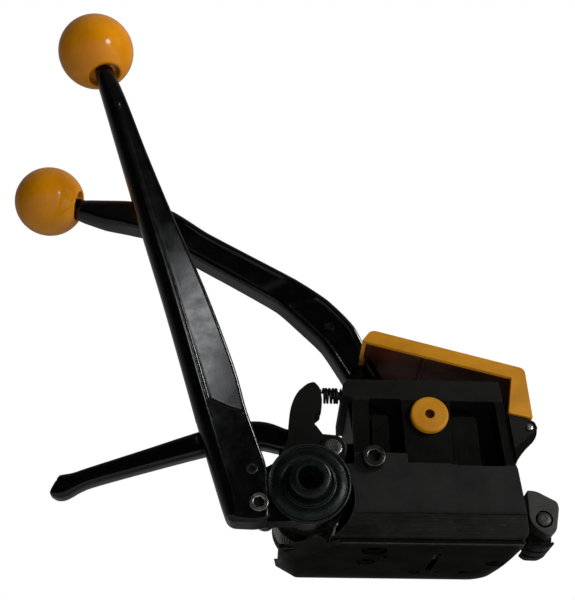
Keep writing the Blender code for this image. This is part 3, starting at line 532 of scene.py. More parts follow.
def combine(piece, tools, operation):
    for tool in tools:
        if tool.data.materials[0] is CASTING:
            tool.data.materials[0] = piece.data.materials[0]
        step = piece.modifiers.new(tool.name, "BOOLEAN")
        step.operation = operation
        step.solver = "EXACT"
        step.material_mode = "TRANSFER"
        step.object = tool
    settle(piece)
    for tool in tools:
        bpy.data.objects.remove(tool, do_unlink=True)
    return piece


def cut(piece, *tools):
    return combine(piece, tools, "DIFFERENCE")


def join(piece, *tools):
    return combine(piece, tools, "UNION")


def clean(piece):
    """Merges points that nearly meet and drops edges that bend nothing."""
    gap, bend = 0.02 * MM, math.radians(0.5)
    bm = bmesh.new()
    bm.from_mesh(piece.data)
    bmesh.ops.remove_doubles(bm, verts=bm.verts, dist=gap)
    bmesh.ops.dissolve_limit(bm, angle_limit=bend, verts=bm.verts, edges=bm.edges)
    bm.to_mesh(piece.data)
    bm.free()


def soften(piece, width, segments=3, angle=32):
    """Rounds every edge sharper than the angle, as a casting or forging has."""
    clean(piece)
    step = piece.modifiers.new("round", "BEVEL")
    step.width = width * MM
    step.segments = segments
    step.limit_method = "ANGLE"
    step.angle_limit = math.radians(angle)
    step.use_clamp_overlap = True
    step.miter_outer = "MITER_ARC"
    return settle(piece)


def shade(piece):
    """Smooth shading, with the edges sharper than 38 degrees kept."""
    piece.data.shade_smooth()
    piece.data.set_sharp_from_angle(angle=math.radians(38))
    step = piece.modifiers.new("flat", "WEIGHTED_NORMAL")
    step.keep_sharp = True
    step.weight = 90
    return settle(piece)


def put(piece, body, slot, *nodes):
    """Shades a finished piece and hangs it on its body."""
    shade(piece)
    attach(piece, body)
    if nodes:
        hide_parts(*nodes)
    return piece


def mix_up(first, second, third, fourth, t):
    """Catmull-Rom between the second and third of four equal tuples."""
    made = []
    for a, b, c, d in zip(first, second, third, fourth):
        value = 2 * b + (c - a) * t + (2 * a - 5 * b + 4 * c - d) * t * t
        made.append(0.5 * (value + (3 * b - a - 3 * c + d) * t ** 3))
    return tuple(made)


def resample(stations, per_span, curl=1.0):
    """A run of stations through the given ones: curl 1 is smooth and 0 is straight."""
    made = []
    last = len(stations) - 1
    for i in range(last):
        run = [stations[max(i - 1, 0)], stations[i], stations[i + 1], stations[min(i + 2, last)]]
        for k in range(per_span):
            t = k / per_span
            smooth = mix_up(*run, t)
            straight = [a + (b - a) * t for a, b in zip(run[1], run[2])]
            made.append(tuple(curl * c + (1 - curl) * d for c, d in zip(smooth, straight)))
    return made + [stations[-1]]


def smooth_step(value, low, high):
    t = max(0.0, min(1.0, (value - low) / (high - low)))
    return t * t * (3 - 2 * t)


def blade(name, stations, section, material):
    """A lever along stations of (x, z, y, width, thickness).

    section gives each ring as (across, forward) offsets from its middle.
    """
    rings = []
    last = len(stations) - 1
    for i, station in enumerate(stations):
        before = stations[max(i - 1, 0)]
        after = stations[min(i + 1, last)]
        along = Vector((after[0] - before[0], 0, after[1] - before[1])).normalized()
        side = Vector((along.z, 0, -along.x))
        middle = Vector((station[0], station[2], station[1]))
        rings.append([middle + side * a + Vector((0, b, 0)) for a, b in section(station)])
    return solid(name, rings, material)


def flat_oval(station, steps=36, power=4.5):
    """A ring between an ellipse and a rounded box, near the box."""
    width, depth = station[3] / 2, station[4] / 2
    made = []
    for i in range(steps):
        angle = math.tau * i / steps
        c, s = math.cos(angle), math.sin(angle)
        made.append((math.copysign(abs(c) ** (2 / power), c) * width,
                     math.copysign(abs(s) ** (2 / power), s) * depth))
    return made


def coil(name, start, axis, length, radius, wire, turns, steps=28, sides=10):
    """A helical spring whose first and last turns lie close."""
    axis = Vector(axis).normalized()
    across = axis.orthogonal().normalized()
    other = axis.cross(across)
    rings = []
    total = int(turns * steps)
    rise = length - 2 * wire
    for i in range(total + 1):
        share = i / total
        lay = share - 0.045 * math.sin(math.tau * share)
        angle = math.tau * i / steps
        out = across * math.cos(angle) + other * math.sin(angle)
        middle = Vector(start) + axis * (wire + rise * lay) + out * radius
        ring = []
        for j in range(sides):
            around = math.tau * j / sides
            ring.append(middle + out * wire * math.cos(around) + axis * wire * math.sin(around))
        rings.append(ring)
    return solid(name, rings, SPRING)


def socket_screw(name, start, axis, head, shank, flats, material, round_off=0.5, sides=56):
    """A socket-head screw with a hexagon socket: head and shank are (radius, length)."""
    (radius, length), (thin, more) = head, shank
    profile = [
        (radius - round_off, 0.0), (radius - round_off * 0.3, round_off * 0.3), (radius, round_off),
        (radius, length - 0.2), (radius - 0.2, length), (thin, length), (thin, length + more),
    ]
    made = lathe(name, start, axis, profile, sides, material)
    deep = max(length * 0.62, flats * 0.6 if thin > flats * 0.6 else 0.0)
    corner = flats * 0.577
    # The socket's bottom takes painted shade.
    hexagon = lathe(name + "_socket", start, axis, [(corner, -1.0), (corner, deep)], 6, PAINTED_SHADE_FILL)
    cone = [(flats * 0.62, -0.3), (flats * 0.62, -0.01), (flats * 0.50, 0.35)]
    cut(made, hexagon, lathe(name + "_mouth", start, axis, cone, 40, material))
    return soften(made, 0.10, 2, 40)


# ------------------------------------------------------------ body parts

def pocket_cutter(name, outline, depth, radius):
    return slab(name, rounded(outline, radius), BODY_FRONT - 4.0, BODY_FRONT + depth, RECESS_PAINTED_SHADE)


def body_casting():
    outline = rounded([
        (-37.5, 14.0), (41.2, 14.0), (38.9, 38.0), (34.9, 77.5), (-35.0, 77.5), (-37.5, 75.0),
    ], [0.6, 0.6, 0.0, 1.6, 1.2, 1.2])
    made = slab("body_casting_detail", outline, BODY_FRONT, BODY_BACK)
    skirt = rounded([
        (-37.4, 14.1), (41.1, 14.1), (39.1, 35.8), (10.8, 35.8), (9.6, 36.8), (-8.4, 36.8),
        (-9.4, 41.3), (-37.4, 41.3),
    ], [0.3, 0.3, 1.2, 2.2, 0.6, 1.6, 1.6, 0.6])
    lug = arc(ROCKER_PIN, 6.4, 90, 270, 24) + [(-30.0, 33.0), (-30.0, 52.0)]
    guide_lug = arc(GUIDE_PIN, 4.8, -90, 90, 20) + [(36.0, 19.0), (36.0, 7.6)]
    roof = box_outline((-30.0, 10.0), (38.6, 16.0))
    join(
        made, slab("skirt_pad", skirt, -26.0, -21.0, SKIRT_PAINTED_LIGHT), slab("pin_lug", lug, -16.4, 13.6),
        slab("guide_lug", guide_lug, -13.0, -4.0), slab("channel_roof", roof, -13.0, 21.8),
    )
    left = [(-25.8, 41.4), (-9.6, 41.4), (-10.8, 68.2), (-25.8, 68.2)]
    left_deep = left[1:] + [(-25.8, 45.0), (-23.9, 45.0), (-23.9, 62.4), (-16.2, 62.4), (-16.2, 41.4)]
    right = [(11.8, 35.9), (34.8, 35.9), (32.0, 67.4), (11.4, 67.4)]
    right_deep = right[1:] + [(11.4, 39.0), (12.7, 39.0), (12.7, 62.2), (24.4, 62.2), (24.4, 35.9)]
    relief = box_outline((-40.0, 36.0), (-33.0, 69.0))
    flank = [(-41.0, 49.0), (-32.4, 49.0), (-34.6, 69.0), (-41.0, 69.0)]
    lean = [(-25.4, 67.7), (-27.0, 67.7), (-27.0, 36.8), (-23.5, 36.8), (-24.6, 67.3)]
    short_lean = lean[:2] + [(-27.0, 41.3), (-23.6, 41.3), (-24.6, 67.3)]
    slot = [(-34, 84), (-29.5, 72), (-14, 49.5), (20, 49.5), (45, 64), (45, 84)]
    # The lean, pocket and relief cutters leave painted shade on the faces they cut, and the flank cutter
    # paints shade on the left side under the rocker.
    cut(
        made,
        bar("left_lean", short_lean, -42.0, -9.4, RECESS_PAINTED_SHADE),
        bar("right_lean", lean, -9.5, 42.0, RECESS_PAINTED_SHADE),
        pocket_cutter("left_pocket", left, 6.0, 2.2),
        pocket_cutter("left_deep", left_deep, 12.5, 1.6),
        pocket_cutter("right_pocket", right, 6.0, 2.6),
        pocket_cutter("right_deep", right_deep, 12.5, 2.0),
        slab("relief", rounded(relief, 1.4), -27.5, -17.0, RECESS_PAINTED_SHADE),
        slab("flank", flank, -20.0, 30.0, PAINTED_SHADE_FILL),
        slab("slot", slot, 1.4, 14.6),
        drum("hub_room", HUB, HUB_ROOM, -30, 13.8, 96),
        drum("boss_room", ROCKER_PIN, 6.9, 13.7, 30),
        block("well", (-12, -8, 14), (28, 16, 50.2)),
        block("mouth", (-4, -8, 5), (20, 16, 30)),
        block("cam_room", (-15, -8, 47), (24, 16, 71)),
    )
    soften(made, 0.6, 3, 24)
    cut(
        made,
        drum("shaft_bore", SEAL_AXIS, SHAFT_BORE, *THROUGH),
        drum("rocker_bore", ROCKER_PIN, 4.3, *THROUGH),
        drum("guide_bore", GUIDE_PIN, 3.5, *THROUGH),
        drum("screw_bore", FRONT_SCREW, 3.3, -40, -9),
        post("rail_bore", RAIL_SCREW, 3.0, 8, 25),
        rod("stud_bore", (-39, SPRING_Y, SPRING_Z), 1.6, -2, 9),
        *[rod("bracket_bore", (x, -2.0, z), 1.8, -14, 8) for x, z in BRACKET_SCREWS],
    )
    return put(made, "frame", "blackened_steel", "body_casting")


def pocket_pads():
    """Plain raised pads on the pocket floors."""
    spots = (
        ("pad_left", (-23.0, 47.0), (-19.4, 56.0), -18.8), ("pad_right", (14.6, 40.2), (18.6, 49.6), -18.8),
        ("pad_deep", (26.6, 40.0), (31.2, 52.0), -12.3),
    )
    for name, low, high, level in spots:
        # The pads take the pockets' painted shade.
        made = slab(name, rounded(box_outline(low, high), 0.7), level - 0.35, level + 0.35, RECESS_PAINTED_SHADE)
        soften(made, 0.15, 2)
        put(made, "frame", "blackened_steel")


def slug_slot(material):
    """The slot that punched slugs fall through, in the sole and the die."""
    slot = rounded([(2.5, -13.2), (5.4, -13.2), (3.9, 12.4), (1.0, 12.4)], 0.8, 3)
    return plate("slug", slot, slot, -2, 9, material)


def base_plate():
    low = [
        (-39.5, -26.9), (38.5, -26.9), (36.5, -5.0), (34.7, 7.5), (31.0, 22.6),
        (25.5, 27.6), (-57.8, 27.6), (-57.8, -5.0), (-55.0, -7.6),
    ]
    high = [
        (-40.5, -26.9), (41.0, -26.9), (41.0, -5.0), (40.5, 10.0), (37.5, 24.0),
        (31.0, 28.0), (-66.5, 28.0), (-69.0, -2.0), (-60.0, -9.0),
    ]
    radii = [0.8, 2.5, 6.0, 8.0, 5.0, 4.0, 2.0, 1.5, 1.5]
    made = plate("sole_plate_detail", rounded(low, radii), rounded(high, radii), 0.0, 5.0, SOLE)
    # The rebate and lip take painted shade along the strip below the rail.
    cut(
        made,
        block("rebate", (-60, -40, 2.0), (50, -20.2, 9), RECESS_PAINTED_SHADE),
        block("lip", (-60, -40, 0.5), (50, -26.2, 2.2), RECESS_PAINTED_SHADE),
        block("die_seat", (-31.8, -10.0, 2.7), (35.8, 18.3, 9)),
        block("grip_seat", (-75, -8.3, 2.7), (-42.7, 14.3, 9)),
    )
    soften(made, 0.45, 2)
    # The slug slot, screw heads, dowel and small holes are filled with painted shade.
    tools = [
        slug_slot(PAINTED_SHADE_FILL), post("rail_head", RAIL_SCREW, 5.8, -1, 3.4, 32, PAINTED_SHADE_FILL),
        post("rail_shank", RAIL_SCREW, 3.2, 2, 9), post("rail_dowel_bore", RAIL_DOWEL, 1.9, -1, 6, 24),
    ]
    for x, y in DIE_SCREWS:
        tools += [post("head", (x, y), 4.3, -1, 2.2, 40, PAINTED_SHADE_FILL), post("shank", (x, y), 2.4, 1, 6, 24)]
    tools += [post("dowel", spot, 2.7, -1, 6, 28, PAINTED_SHADE_FILL) for spot in DIE_DOWELS]
    tools += [post("small", (x, y), radius, -1, 1.8, 20, PAINTED_SHADE_FILL) for x, y, radius in SMALL_HOLES]
    cut(made, *tools)
    return put(made, "frame", "blackened_steel", "base_plate")


def side_rail():
    """The hardened rail, rounded along its lip and chamfered at its end."""
    profile = rounded([
        (-27.4, 2.3), (-20.5, 2.3), (-20.5, 5.5), (-13.5, 5.5), (-13.5, 13.7), (-27.4, 13.7),
    ], [1.3, 0.3, 0.0, 0.4, 0.4, 0.7], 5)
    made = bar("side_rail_detail", profile, -46.0, 40.6, RAIL)
    corner = [(36.4, 0.0), (42.0, 0.0), (42.0, 6.4), (40.6, 5.4), (39.4, 3.4), (37.6, 2.2)]
    cut(
        made, slab("corner", corner, -30.0, -10.0), drum("hub_room", HUB, HUB_ROOM, -30, -10, 96),
        post("through", RAIL_SCREW, 3.1, 0, 20), post("head_room", RAIL_SCREW, 5.8, 0, 3.4),
        post("dowel", RAIL_DOWEL, 1.9, 0, 12, 24),
    )
    soften(made, 0.35, 3, 40)
    return put(made, "frame", "worn_steel", "side_rail")


def rear_cheek():
    """A cheek at the far side of the grip keeps the strap on its plate."""
    outline = [(-47.4, 4.6), (-36.4, 4.6), (-36.4, 24.0), (-41.4, 24.0), (-47.4, 12.0)]
    outline = rounded(outline, [0, 0, 1.2, 3, 2], 5)
    made = slab("rear_cheek_detail", outline, 22.4, 25.6)
    soften(made, 0.5, 3)
    put(made, "frame", "blackened_steel")


def inserts():
    for name, low, high, node in (
        ("gripper_detail", (-66.0, -8.0), (-43.0, 14.0), "gripper_plate"),
        ("die_detail", (-31.5, -9.7), (35.5, 18.0), "die_plate"),
    ):
        made = block(name, (*low, 3.0), (*high, 5.2), TOOL)
        tools = []
        if node == "die_plate":
            tools = [slug_slot(CASTING)]
            tools += [post("dowel", spot, 2.7, 0, 9, 24) for spot in DIE_DOWELS]
            tools += [post("tapped", spot, 2.0, 0, 4.9, 20) for spot in DIE_SCREWS]
        else:
            for i in range(7):
                x = -64.0 + 3.1 * i
                groove = [(x, 5.4), (x + 1.2, 4.7), (x + 2.4, 5.4)]
                tools.append(slab("groove", groove, -9, 15))
        cut(made, *tools)
        soften(made, 0.2, 2)
        put(made, "frame", "tool_steel", node)


def fixed_fasteners():
    """The screws of the frame, then its pins and the spring's stud."""
    screws = [
        (("front_screw_detail", (FRONT_SCREW[0], -32.0, FRONT_SCREW[1]), BACKWARD,
          (5.1, 5.7), (3.0, 15.0), 5.2, SCREW_STEEL, 0.7), "bright_steel", "front_socket_screw"),
        (("rail_screw_detail", (*RAIL_SCREW, 0.5), UPWARD,
          (5.4, 2.6), (2.6, 20.5), 5.0, DARK_SCREW), "tool_steel", "rail_screw"),
    ]
    for side, spot in zip(("left", "right"), DIE_SCREWS):
        shape = ("die_screw_%s_detail" % side, (*spot, 0.3), UPWARD,
                 (4.0, 1.6), (1.7, 2.7), 3.2, DARK_SCREW, 0.3)
        screws.append((shape, "tool_steel", "die_screw_" + side))
    for side, (x, z) in zip(("low", "high"), BRACKET_SCREWS):
        shape = ("bracket_screw_%s_detail" % side, (x + 6.4, -2.0, z), (-1, 0, 0),
                 (2.6, 2.0), (1.4, 11.0), 2.4, TOOL, 0.3, 32)
        screws.append((shape, "tool_steel", "bracket_screw_" + side))
    for shape, slot, node in screws:
        put(socket_screw(*shape), "frame", slot, node)
    pins = (
        ("rocker_pin_detail", ROCKER_PIN, 4.0, -31.0, 22.4, ROCKER_PIN_STEEL, "rocker_pivot_pin"),
        ("guide_pin_detail", GUIDE_PIN, 3.1, -25.6, 2.2, PIN_STEEL, "guide_hinge_pin"),
        ("lid_pin_detail", LID_PIN, 1.7, -26.6, 22.4, BRIGHT, "lid_hinge_pin"),
    )
    for name, centre, radius, front, back, material, node in pins:
        profile = [
            (radius * 0.25, front + 0.25), (radius * 0.35, front), (radius - 0.6, front),
            (radius - 0.2, front + 0.15), (radius, front + 0.5), (radius, back - 0.5), (radius - 0.5, back),
        ]
        put(turned(name, centre, profile, 56, material), "frame", "bright_steel", node)
    stud = [
        (1.3, -42.0), (1.9, -41.4), (1.9, -38.6), (3.1, -38.6), (3.4, -38.4), (3.4, -37.9),
        (1.3, -37.9), (1.3, -30.6),
    ]
    made = lathe("spring_stud_detail", (0, SPRING_Y, SPRING_Z), RIGHTWARD, stud, 40, SPRING)
    put(made, "frame", "tool_steel", "spring_stud")


def lid_bracket():
    ear = [
        (39.3, 38.6), (43.3, 44.2), (49.0, 49.6), (50.2, 54.0), (48.9, 57.6), (45.6, 58.4), (37.6, 60.4),
    ]
    made = slab("lid_bracket_detail", rounded(ear, [0.5, 4.0, 3.0, 3.0, 2.0, 1.0, 0.5]), -26.2, 21.8)
    middle = [(40.9, 30), (60, 30), (60, 70), (39.4, 70)]
    crease = [(52.0, 55.6), (48.6, 52.8), (41.4, 46.6), (38.0, 44.0), (38.0, 36.0), (52.0, 36.0)]
    # The crease here and the pin recess below take painted shade.
    cut(made, slab("gap", middle, -22.4, 18.0), slab("crease", crease, -28.0, -25.0, RECESS_PAINTED_SHADE))
    soften(made, 0.4, 3)
    cut(
        made,
        drum("pin_bore", LID_PIN, 2.0, *THROUGH, 32),
        drum("recess", LID_PIN, 2.7, -30, -25.5, 40, PAINTED_SHADE_FILL),
        *[rod("screw_bore", (x, -2.0, z), 1.7, -5, 12) for x, z in BRACKET_SCREWS],
    )
    return put(made, "frame", "blackened_steel", "lid_bracket")


# ---------------------------------------------------------------- rocker

def rocker_frame():
    cheek = [(-70.3, 20.0), (-76.0, 15.5), (-76.2, 10.8), (-72.5, 8.0), (-66.0, 9.4)]
    cheek += arc(HUB, 16.5, 225, 385, 48)
    cheek += arc(ROCKER_PIN, 6.2, -30, 80, 20)
    cheek += [(-47.2, 48.2), (-50.0, 52.2), (-62.4, 52.2), (-62.4, 46.0), (-66.6, 36.0)]
    made = slab("rocker_detail", cheek, -30.0, -24.0, ROCKER)
    arm = [
        (-62.4, 50.0), (-62.3, 54.0), (-61.6, 60.0), (-60.2, 64.8), (-58.0, 69.0), (-53.8, 72.8),
        (-50.8, 73.7), (-48.2, 71.0), (-47.2, 64.6), (-47.6, 59.8), (-51.4, 57.6), (-51.2, 54.0),
        (-49.6, 51.0), (-48.0, 49.0),
    ]
    arm = rounded(arm, [0, 3, 3, 3, 3, 1.0, 0.8, 1.6, 1.2, 0.8, 2.6, 2, 2, 0], 3)
    rear = arc(HUB, 14.8, 165, 380, 48) + arc(ROCKER_PIN, 6.2, -30, 120, 20)
    rear += [(-60.0, 45.5), (-66.6, 41.5), (-66.6, 34.0)]
    head = [
        (-62.0, 54.8), (-61.2, 61.0), (-57.9, 68.8), (-53.8, 72.4), (-50.9, 73.3), (-48.4, 70.8),
        (-47.4, 64.8), (-47.8, 60.2), (-51.2, 57.6), (-51.2, 54.8),
    ]
    boss = [(5.9, -24.5), (5.9, -30.3), (5.3, -30.8)]
    seat = [(3.2, -3.0), (3.2, 0.0), (2.8, 0.35)]
    join(
        made,
        slab("arm_front", arm, -30.0, -24.0),
        slab("arm_head", rounded(head, 1.0, 3), -29.8, -17.5),
        slab("rear_cheek", rear, 14.0, 22.0),
        block("bridge", (-66.4, -26.0, 36.2), (-60.0, 16.0, 41.4)),
        turned("pin_boss", ROCKER_PIN, boss, 56, ROCKER),
        lathe("spring_seat", (-47.5, SPRING_Y, SPRING_Z), RIGHTWARD, seat, 40, ROCKER),
    )
    soften(made, 0.75, 3)
    cut(
        made,
        drum("bearing", HUB, 9.0, -40, 30, 64),
        drum("pivot", ROCKER_PIN, 4.1, -40, 30),
        drum("holding", HOLDING_PAWL_PIN, 2.5, -40, 30, 32),
        rod("spring_nose", (-49.4, SPRING_Y, SPRING_Z), 1.5, 0, 6, 24, ROCKER),
        *[drum("tapped", spot, 2.1, -27.2, -20, 24) for spot in HANDLE_SCREWS],
    )
    return put(made, "rocker", "blackened_steel", "rocker_frame")


def rocker_handle():
    made = blade("tail_handle_detail", resample(HANDLE_STATIONS, 6), flat_oval, ENAMEL)
    cut(made, *[drum("screw_bore", spot, 2.1, -30, -10, 24) for spot in HANDLE_SCREWS])
    return put(made, "rocker", "gloss_black", "rocker_handle")


def rocker_parts():
    for node, front, back in (("front_bush", -30.0, -24.0), ("rear_bush", 14.0, 22.0)):
        profile = [
            (6.1, front + 0.3), (6.4, front), (8.4, front), (8.7, front + 0.3),
            (8.7, back - 0.3), (8.4, back), (6.4, back), (6.1, back - 0.3),
        ]
        put(turned(node + "_detail", HUB, profile, 64, BRONZE, loop=True), "rocker", "bronze", node)
    for side, (x, z) in zip(("low", "high"), HANDLE_SCREWS):
        made = socket_screw("handle_screw_%s_detail" % side, (x, -13.2, z), (0, -1, 0),
                            (3.0, 2.2), (1.8, 11.0), 2.6, TOOL, 0.4, 40)
        put(made, "rocker", "tool_steel", "handle_screw_" + side)
    spring = coil("rocker_spring_detail", (-46.9, SPRING_Y, SPRING_Z), RIGHTWARD, 8.0, 3.15, 0.62, 5.0)
    put(spring, "rocker", "spring_steel", "rocker_spring")
    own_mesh(spring)


# --------------------------------------------------------- tension lever

def lever_edges():
    """The blade's lower left and upper right edges, from the knob down."""
    left, right = [], []
    run = resample(TENSION_STATIONS, 4)
    for i, (x, z, width) in enumerate(run):
        before, after = run[max(i - 1, 0)], run[min(i + 1, len(run) - 1)]
        along = Vector((after[0] - before[0], after[1] - before[1])).normalized()
        side = Vector((along.y, -along.x)) * (width / 2)
        left.append((x + side.x, z + side.y))
        right.append((x - side.x, z - side.y))
    return left, right


def inward(outline):
    """The unit normals of an outline, pointing into it."""
    area = sum(a[0] * b[1] - b[0] * a[1] for a, b in zip(outline, outline[1:] + outline[:1]))
    made = []
    for i in range(len(outline)):
        along = Vector(outline[(i + 1) % len(outline)]) - Vector(outline[i - 1])
        across = Vector((-along.y, along.x)).normalized()
        made.append(across if area > 0 else -across)
    return made


def rounded_slab(name, outline, front_soft, back_soft, y_front, y_back, material, steps=8):
    """A slab whose front edge is rounded by its own amount at each point."""
    normals = inward(outline)
    rings = []
    for k in range(steps + 1):
        turn = math.pi / 2 * k / steps
        ring = []
        for spot, normal, soft in zip(outline, normals, front_soft):
            moved = Vector(spot) + normal * soft * (1 - math.sin(turn))
            ring.append((moved.x, y_front + soft * 1.15 * (1 - math.cos(turn)), moved.y))
        rings.append(ring)
    for k in range(5):
        turn = math.pi / 2 * k / 4
        ring = []
        for spot, normal in zip(outline, normals):
            moved = Vector(spot) + normal * back_soft * (1 - math.cos(turn))
            ring.append((moved.x, y_back - back_soft * (1 - math.sin(turn)), moved.y))
        rings.append(ring)
    return solid(name, rings, material)


def panel_floor(share, across):
    """Depth of the front panel, from its upper end (0) to its lower end (1).

    It leans to the left, bends where its upper half meets its lower half,
    and climbs out to the foot in a hollow ramp.
    """
    start = smooth_step(share + 0.035 * across, 0.066, 0.102)
    end = 1.0 - smooth_step(share, 0.848 + 0.111 * across, 0.873 + 0.122 * across)
    upper = 1.0 - smooth_step(share, 0.391, 0.425)
    return (1.15 - 0.8 * across + upper * (0.8 * across - 0.15)) * start * end


def panel_cutter():
    left, right = lever_edges()
    left, right = left[3:], right[3:]
    for side in (left, right):
        side.append(tuple(Vector(side[-1]) * 2 - Vector(side[-2])))
    total = len(left) - 1
    steps = 150
    walls = ((0.0, 0.0), (0.14, 0.05), (0.32, 0.20), (0.75, 0.62), (1.15, 0.93), (1.45, 1.0))
    rings = []
    for i in range(steps + 1):
        share = i / steps
        k = min(int(share * total), total - 1)
        t = share * total - k
        low = Vector(left[k]).lerp(Vector(left[k + 1]), t)
        high = Vector(right[k]).lerp(Vector(right[k + 1]), t)
        step = (high - low).normalized()
        first = low + step * (5.8 + 0.7 * smooth_step(share, 0.0, 0.15))
        last = high - step * 1.35
        width = (last - first).length
        marks = [(along / width, wall) for along, wall in walls]
        marks += [(1.45 / width + (1 - 1.75 / width) * c / 10, 1.0) for c in range(1, 11)]
        marks += [(1 - 0.15 / width, 0.5), (1.0, 0.0)]
        floor, top = [], []
        for across, wall in marks:
            spot = first.lerp(last, across)
            floor.append((spot.x, LEVER_FRONT - 0.03 + panel_floor(share, across) * wall, spot.y))
            top.append((spot.x, LEVER_FRONT - 2.5, spot.y))
        rings.append(floor + top[::-1])
    return solid("panel", rings, ENAMEL)


def tension_lever():
    left, right = lever_edges()
    foot = [
        (-103.5, 52.0), (-96.6, 30.0), (-90.2, 10.6), (-87.4, 3.2), (-76.4, 2.8), (-70.4, 3.9),
        (-70.3, 9.4), (-71.8, 27.0), (-80.6, 51.8),
    ]
    foot = rounded(foot, [0, 3, 3, 5.5, 2, 2.6, 3, 4, 0], 8)
    left, right = left[:-1], right[:-1][::-1]
    outline = left + foot + right
    soft = [4.4 + 1.8 * smooth_step(i, 0, 8) for i in range(len(left))]
    for x, z in foot:
        soft.append(1.3 + 4.9 * (1 - smooth_step(x, -92.0, -82.0)) if z < 45 or x < -95 else 1.3)
    soft += [1.3 + 2.7 * smooth_step(i, len(right) - 7, len(right) - 1) for i in range(len(right))]
    made = rounded_slab("tension_lever_detail", outline, soft, 1.6, LEVER_FRONT, LEVER_BACK, ENAMEL)
    cut(made, panel_cutter())
    cage = rounded([
        (-86.0, 6.0), (-82.0, 3.9), (-70.6, 4.2), (-58.0, 4.8), (-53.8, 20.6), (-60.0, 35.0),
        (-73.2, 27.2), (-84.0, 44.0),
    ], [1, 1, 2, 0.5, 0, 1, 2, 1], 4)
    ring = slab("lever_cage_detail", cage, CAGE_FRONT, LEVER_BACK, ENAMEL)
    join(ring, drum("ring", HUB, 16.8, -41.5, -31.2, 96))
    soften(ring, 0.7, 3)
    room = [(-70.0, 6.2), (-80.4, 5.6), (-81.0, 16.0), (-69.4, 28.6), (-60.0, 29.6), (-58.0, 12.0)]
    cut(
        ring,
        drum("room", HUB, 13.6, -49, PAWL_ROOM_BACK, 64),
        slab("pawl_room", room, CAGE_FRONT + 0.1, PAWL_ROOM_BACK),
        drum("bore", HUB, 8.0, -50, -20, 48),
        drum("pin", DRIVE_PAWL_PIN, 2.8, -50, -20, 32),
    )
    cut(
        made,
        slab("pawl_room", room, CAGE_FRONT + 0.1, PAWL_ROOM_BACK),
        drum("pin", DRIVE_PAWL_PIN, 2.8, -50, -20, 32),
        drum("stop", STOP_SCREW, 1.9, -50, -37, 32),
        drum("counterbore", DRIVE_PAWL_PIN, 4.25, -50, LEVER_FRONT + 1.0, 40),
        drum("stop_counterbore", STOP_SCREW, 2.75, -50, LEVER_FRONT + 0.7, 32),
    )
    aim = knob_axis(TENSION_KNOB, TENSION_NECK)
    join(made, lathe("lever_tang", TENSION_KNOB, aim, [(4.2, -26), (4.2, -6)], 32, ENAMEL))
    put(ring, "tension_lever", "gloss_black")
    return put(made, "tension_lever", "gloss_black", "tension_lever")


def knob_axis(end, inner):
    return (Vector((end[0], 0, end[2])) - Vector((inner[0], 0, inner[1]))).normalized()


def ball(name, centre, axis, radius, body, node):
    """A ball knob with a sunk, lipped seat for the lever's end."""
    lip = 9.4
    edge = -math.sqrt(radius ** 2 - lip ** 2)
    profile = [
        (4.5, -radius * 0.2), (4.5, edge + 3.2), (7.4, edge + 3.2), (7.8, edge + 2.8),
        (8.0, edge + 0.7), (8.3, edge + 0.1), (8.8, edge - 0.05),
    ]
    steps = 64
    first = -math.degrees(math.acos(lip / radius))
    for i in range(steps + 1):
        angle = math.radians(first + (89.0 - first) * i / steps)
        profile.append((radius * math.cos(angle), radius * math.sin(angle)))
    put(lathe(name, centre, axis, profile, 112, KNOB), body, "amber_knob", node)


def tension_parts():
    aim = knob_axis(TENSION_KNOB, TENSION_NECK)
    ball("tension_ball_detail", TENSION_KNOB, aim, TENSION_BALL, "tension_lever", "tension_knob")
    cover = [
        (4.9, -48.6), (5.0, -49.2), (5.5, -49.85), (5.9, -49.95), (8.0, -49.75), (8.6, -49.4),
        (8.9, -48.8), (9.1, -45.9), (9.3, -44.9), (9.6, -44.6), (9.95, -45.0), (10.35, -45.15),
        (10.7, -44.8), (10.95, -44.0), (11.3, -43.85), (12.2, -44.1), (13.4, -44.1), (14.6, -43.8),
        (15.6, -43.35), (16.1, -43.0), (16.4, -43.15), (16.65, -43.5), (17.0, -43.65), (17.35, -43.5),
        (17.6, -43.0), (17.6, -42.2), (17.2, -41.8), (4.9, -41.8),
    ]
    made = turned("ratchet_cover_detail", HUB, cover, 128, HUB_STEEL, loop=True)
    put(made, "tension_lever", "hub_steel", "ratchet_cover")
    made = socket_screw("drive_screw_detail", (DRIVE_PAWL_PIN[0], -46.6, DRIVE_PAWL_PIN[1]), BACKWARD,
                        (4.0, 1.1), (2.7, 12.0), 4.3, BRIGHT, 0.4)
    put(made, "tension_lever", "bright_steel", "drive_pawl_screw")
    made = socket_screw("stop_screw_detail", (STOP_SCREW[0], -46.2, STOP_SCREW[1]), BACKWARD,
                        (2.5, 0.7), (1.6, 7.0), 2.5, SCREW_STEEL, 0.25, 40)
    put(made, "tension_lever", "bright_steel", "stop_screw")


def gear(node, outline, front, back, soft=0.12):
    """A toothed wheel on the feed shaft."""
    made = slab(node + "_detail", outline, front, back, TOOL)
    soften(made, soft, 2, 20)
    cut(made, drum("bore", HUB, SHAFT_BORE, -60, 40, 40))
    put(made, "feed_shaft", "tool_steel", node)


def ratchet_outline(phase):
    """Saw teeth: each climbs in steps to its tip, then drops to the root."""
    teeth, root, tip, drop = 14, 10.2, 12.6, 0.6
    pitch = 360.0 / teeth
    points = []
    for i in range(teeth):
        start = phase + pitch * i
        points.append(polar(HUB, root, start + drop))
        for t in (0.3, 0.6, 0.9):
            points.append(polar(HUB, root + (tip - root) * t, start + drop + (pitch - drop) * t))
        points.append(polar(HUB, tip, start + pitch))
    return points


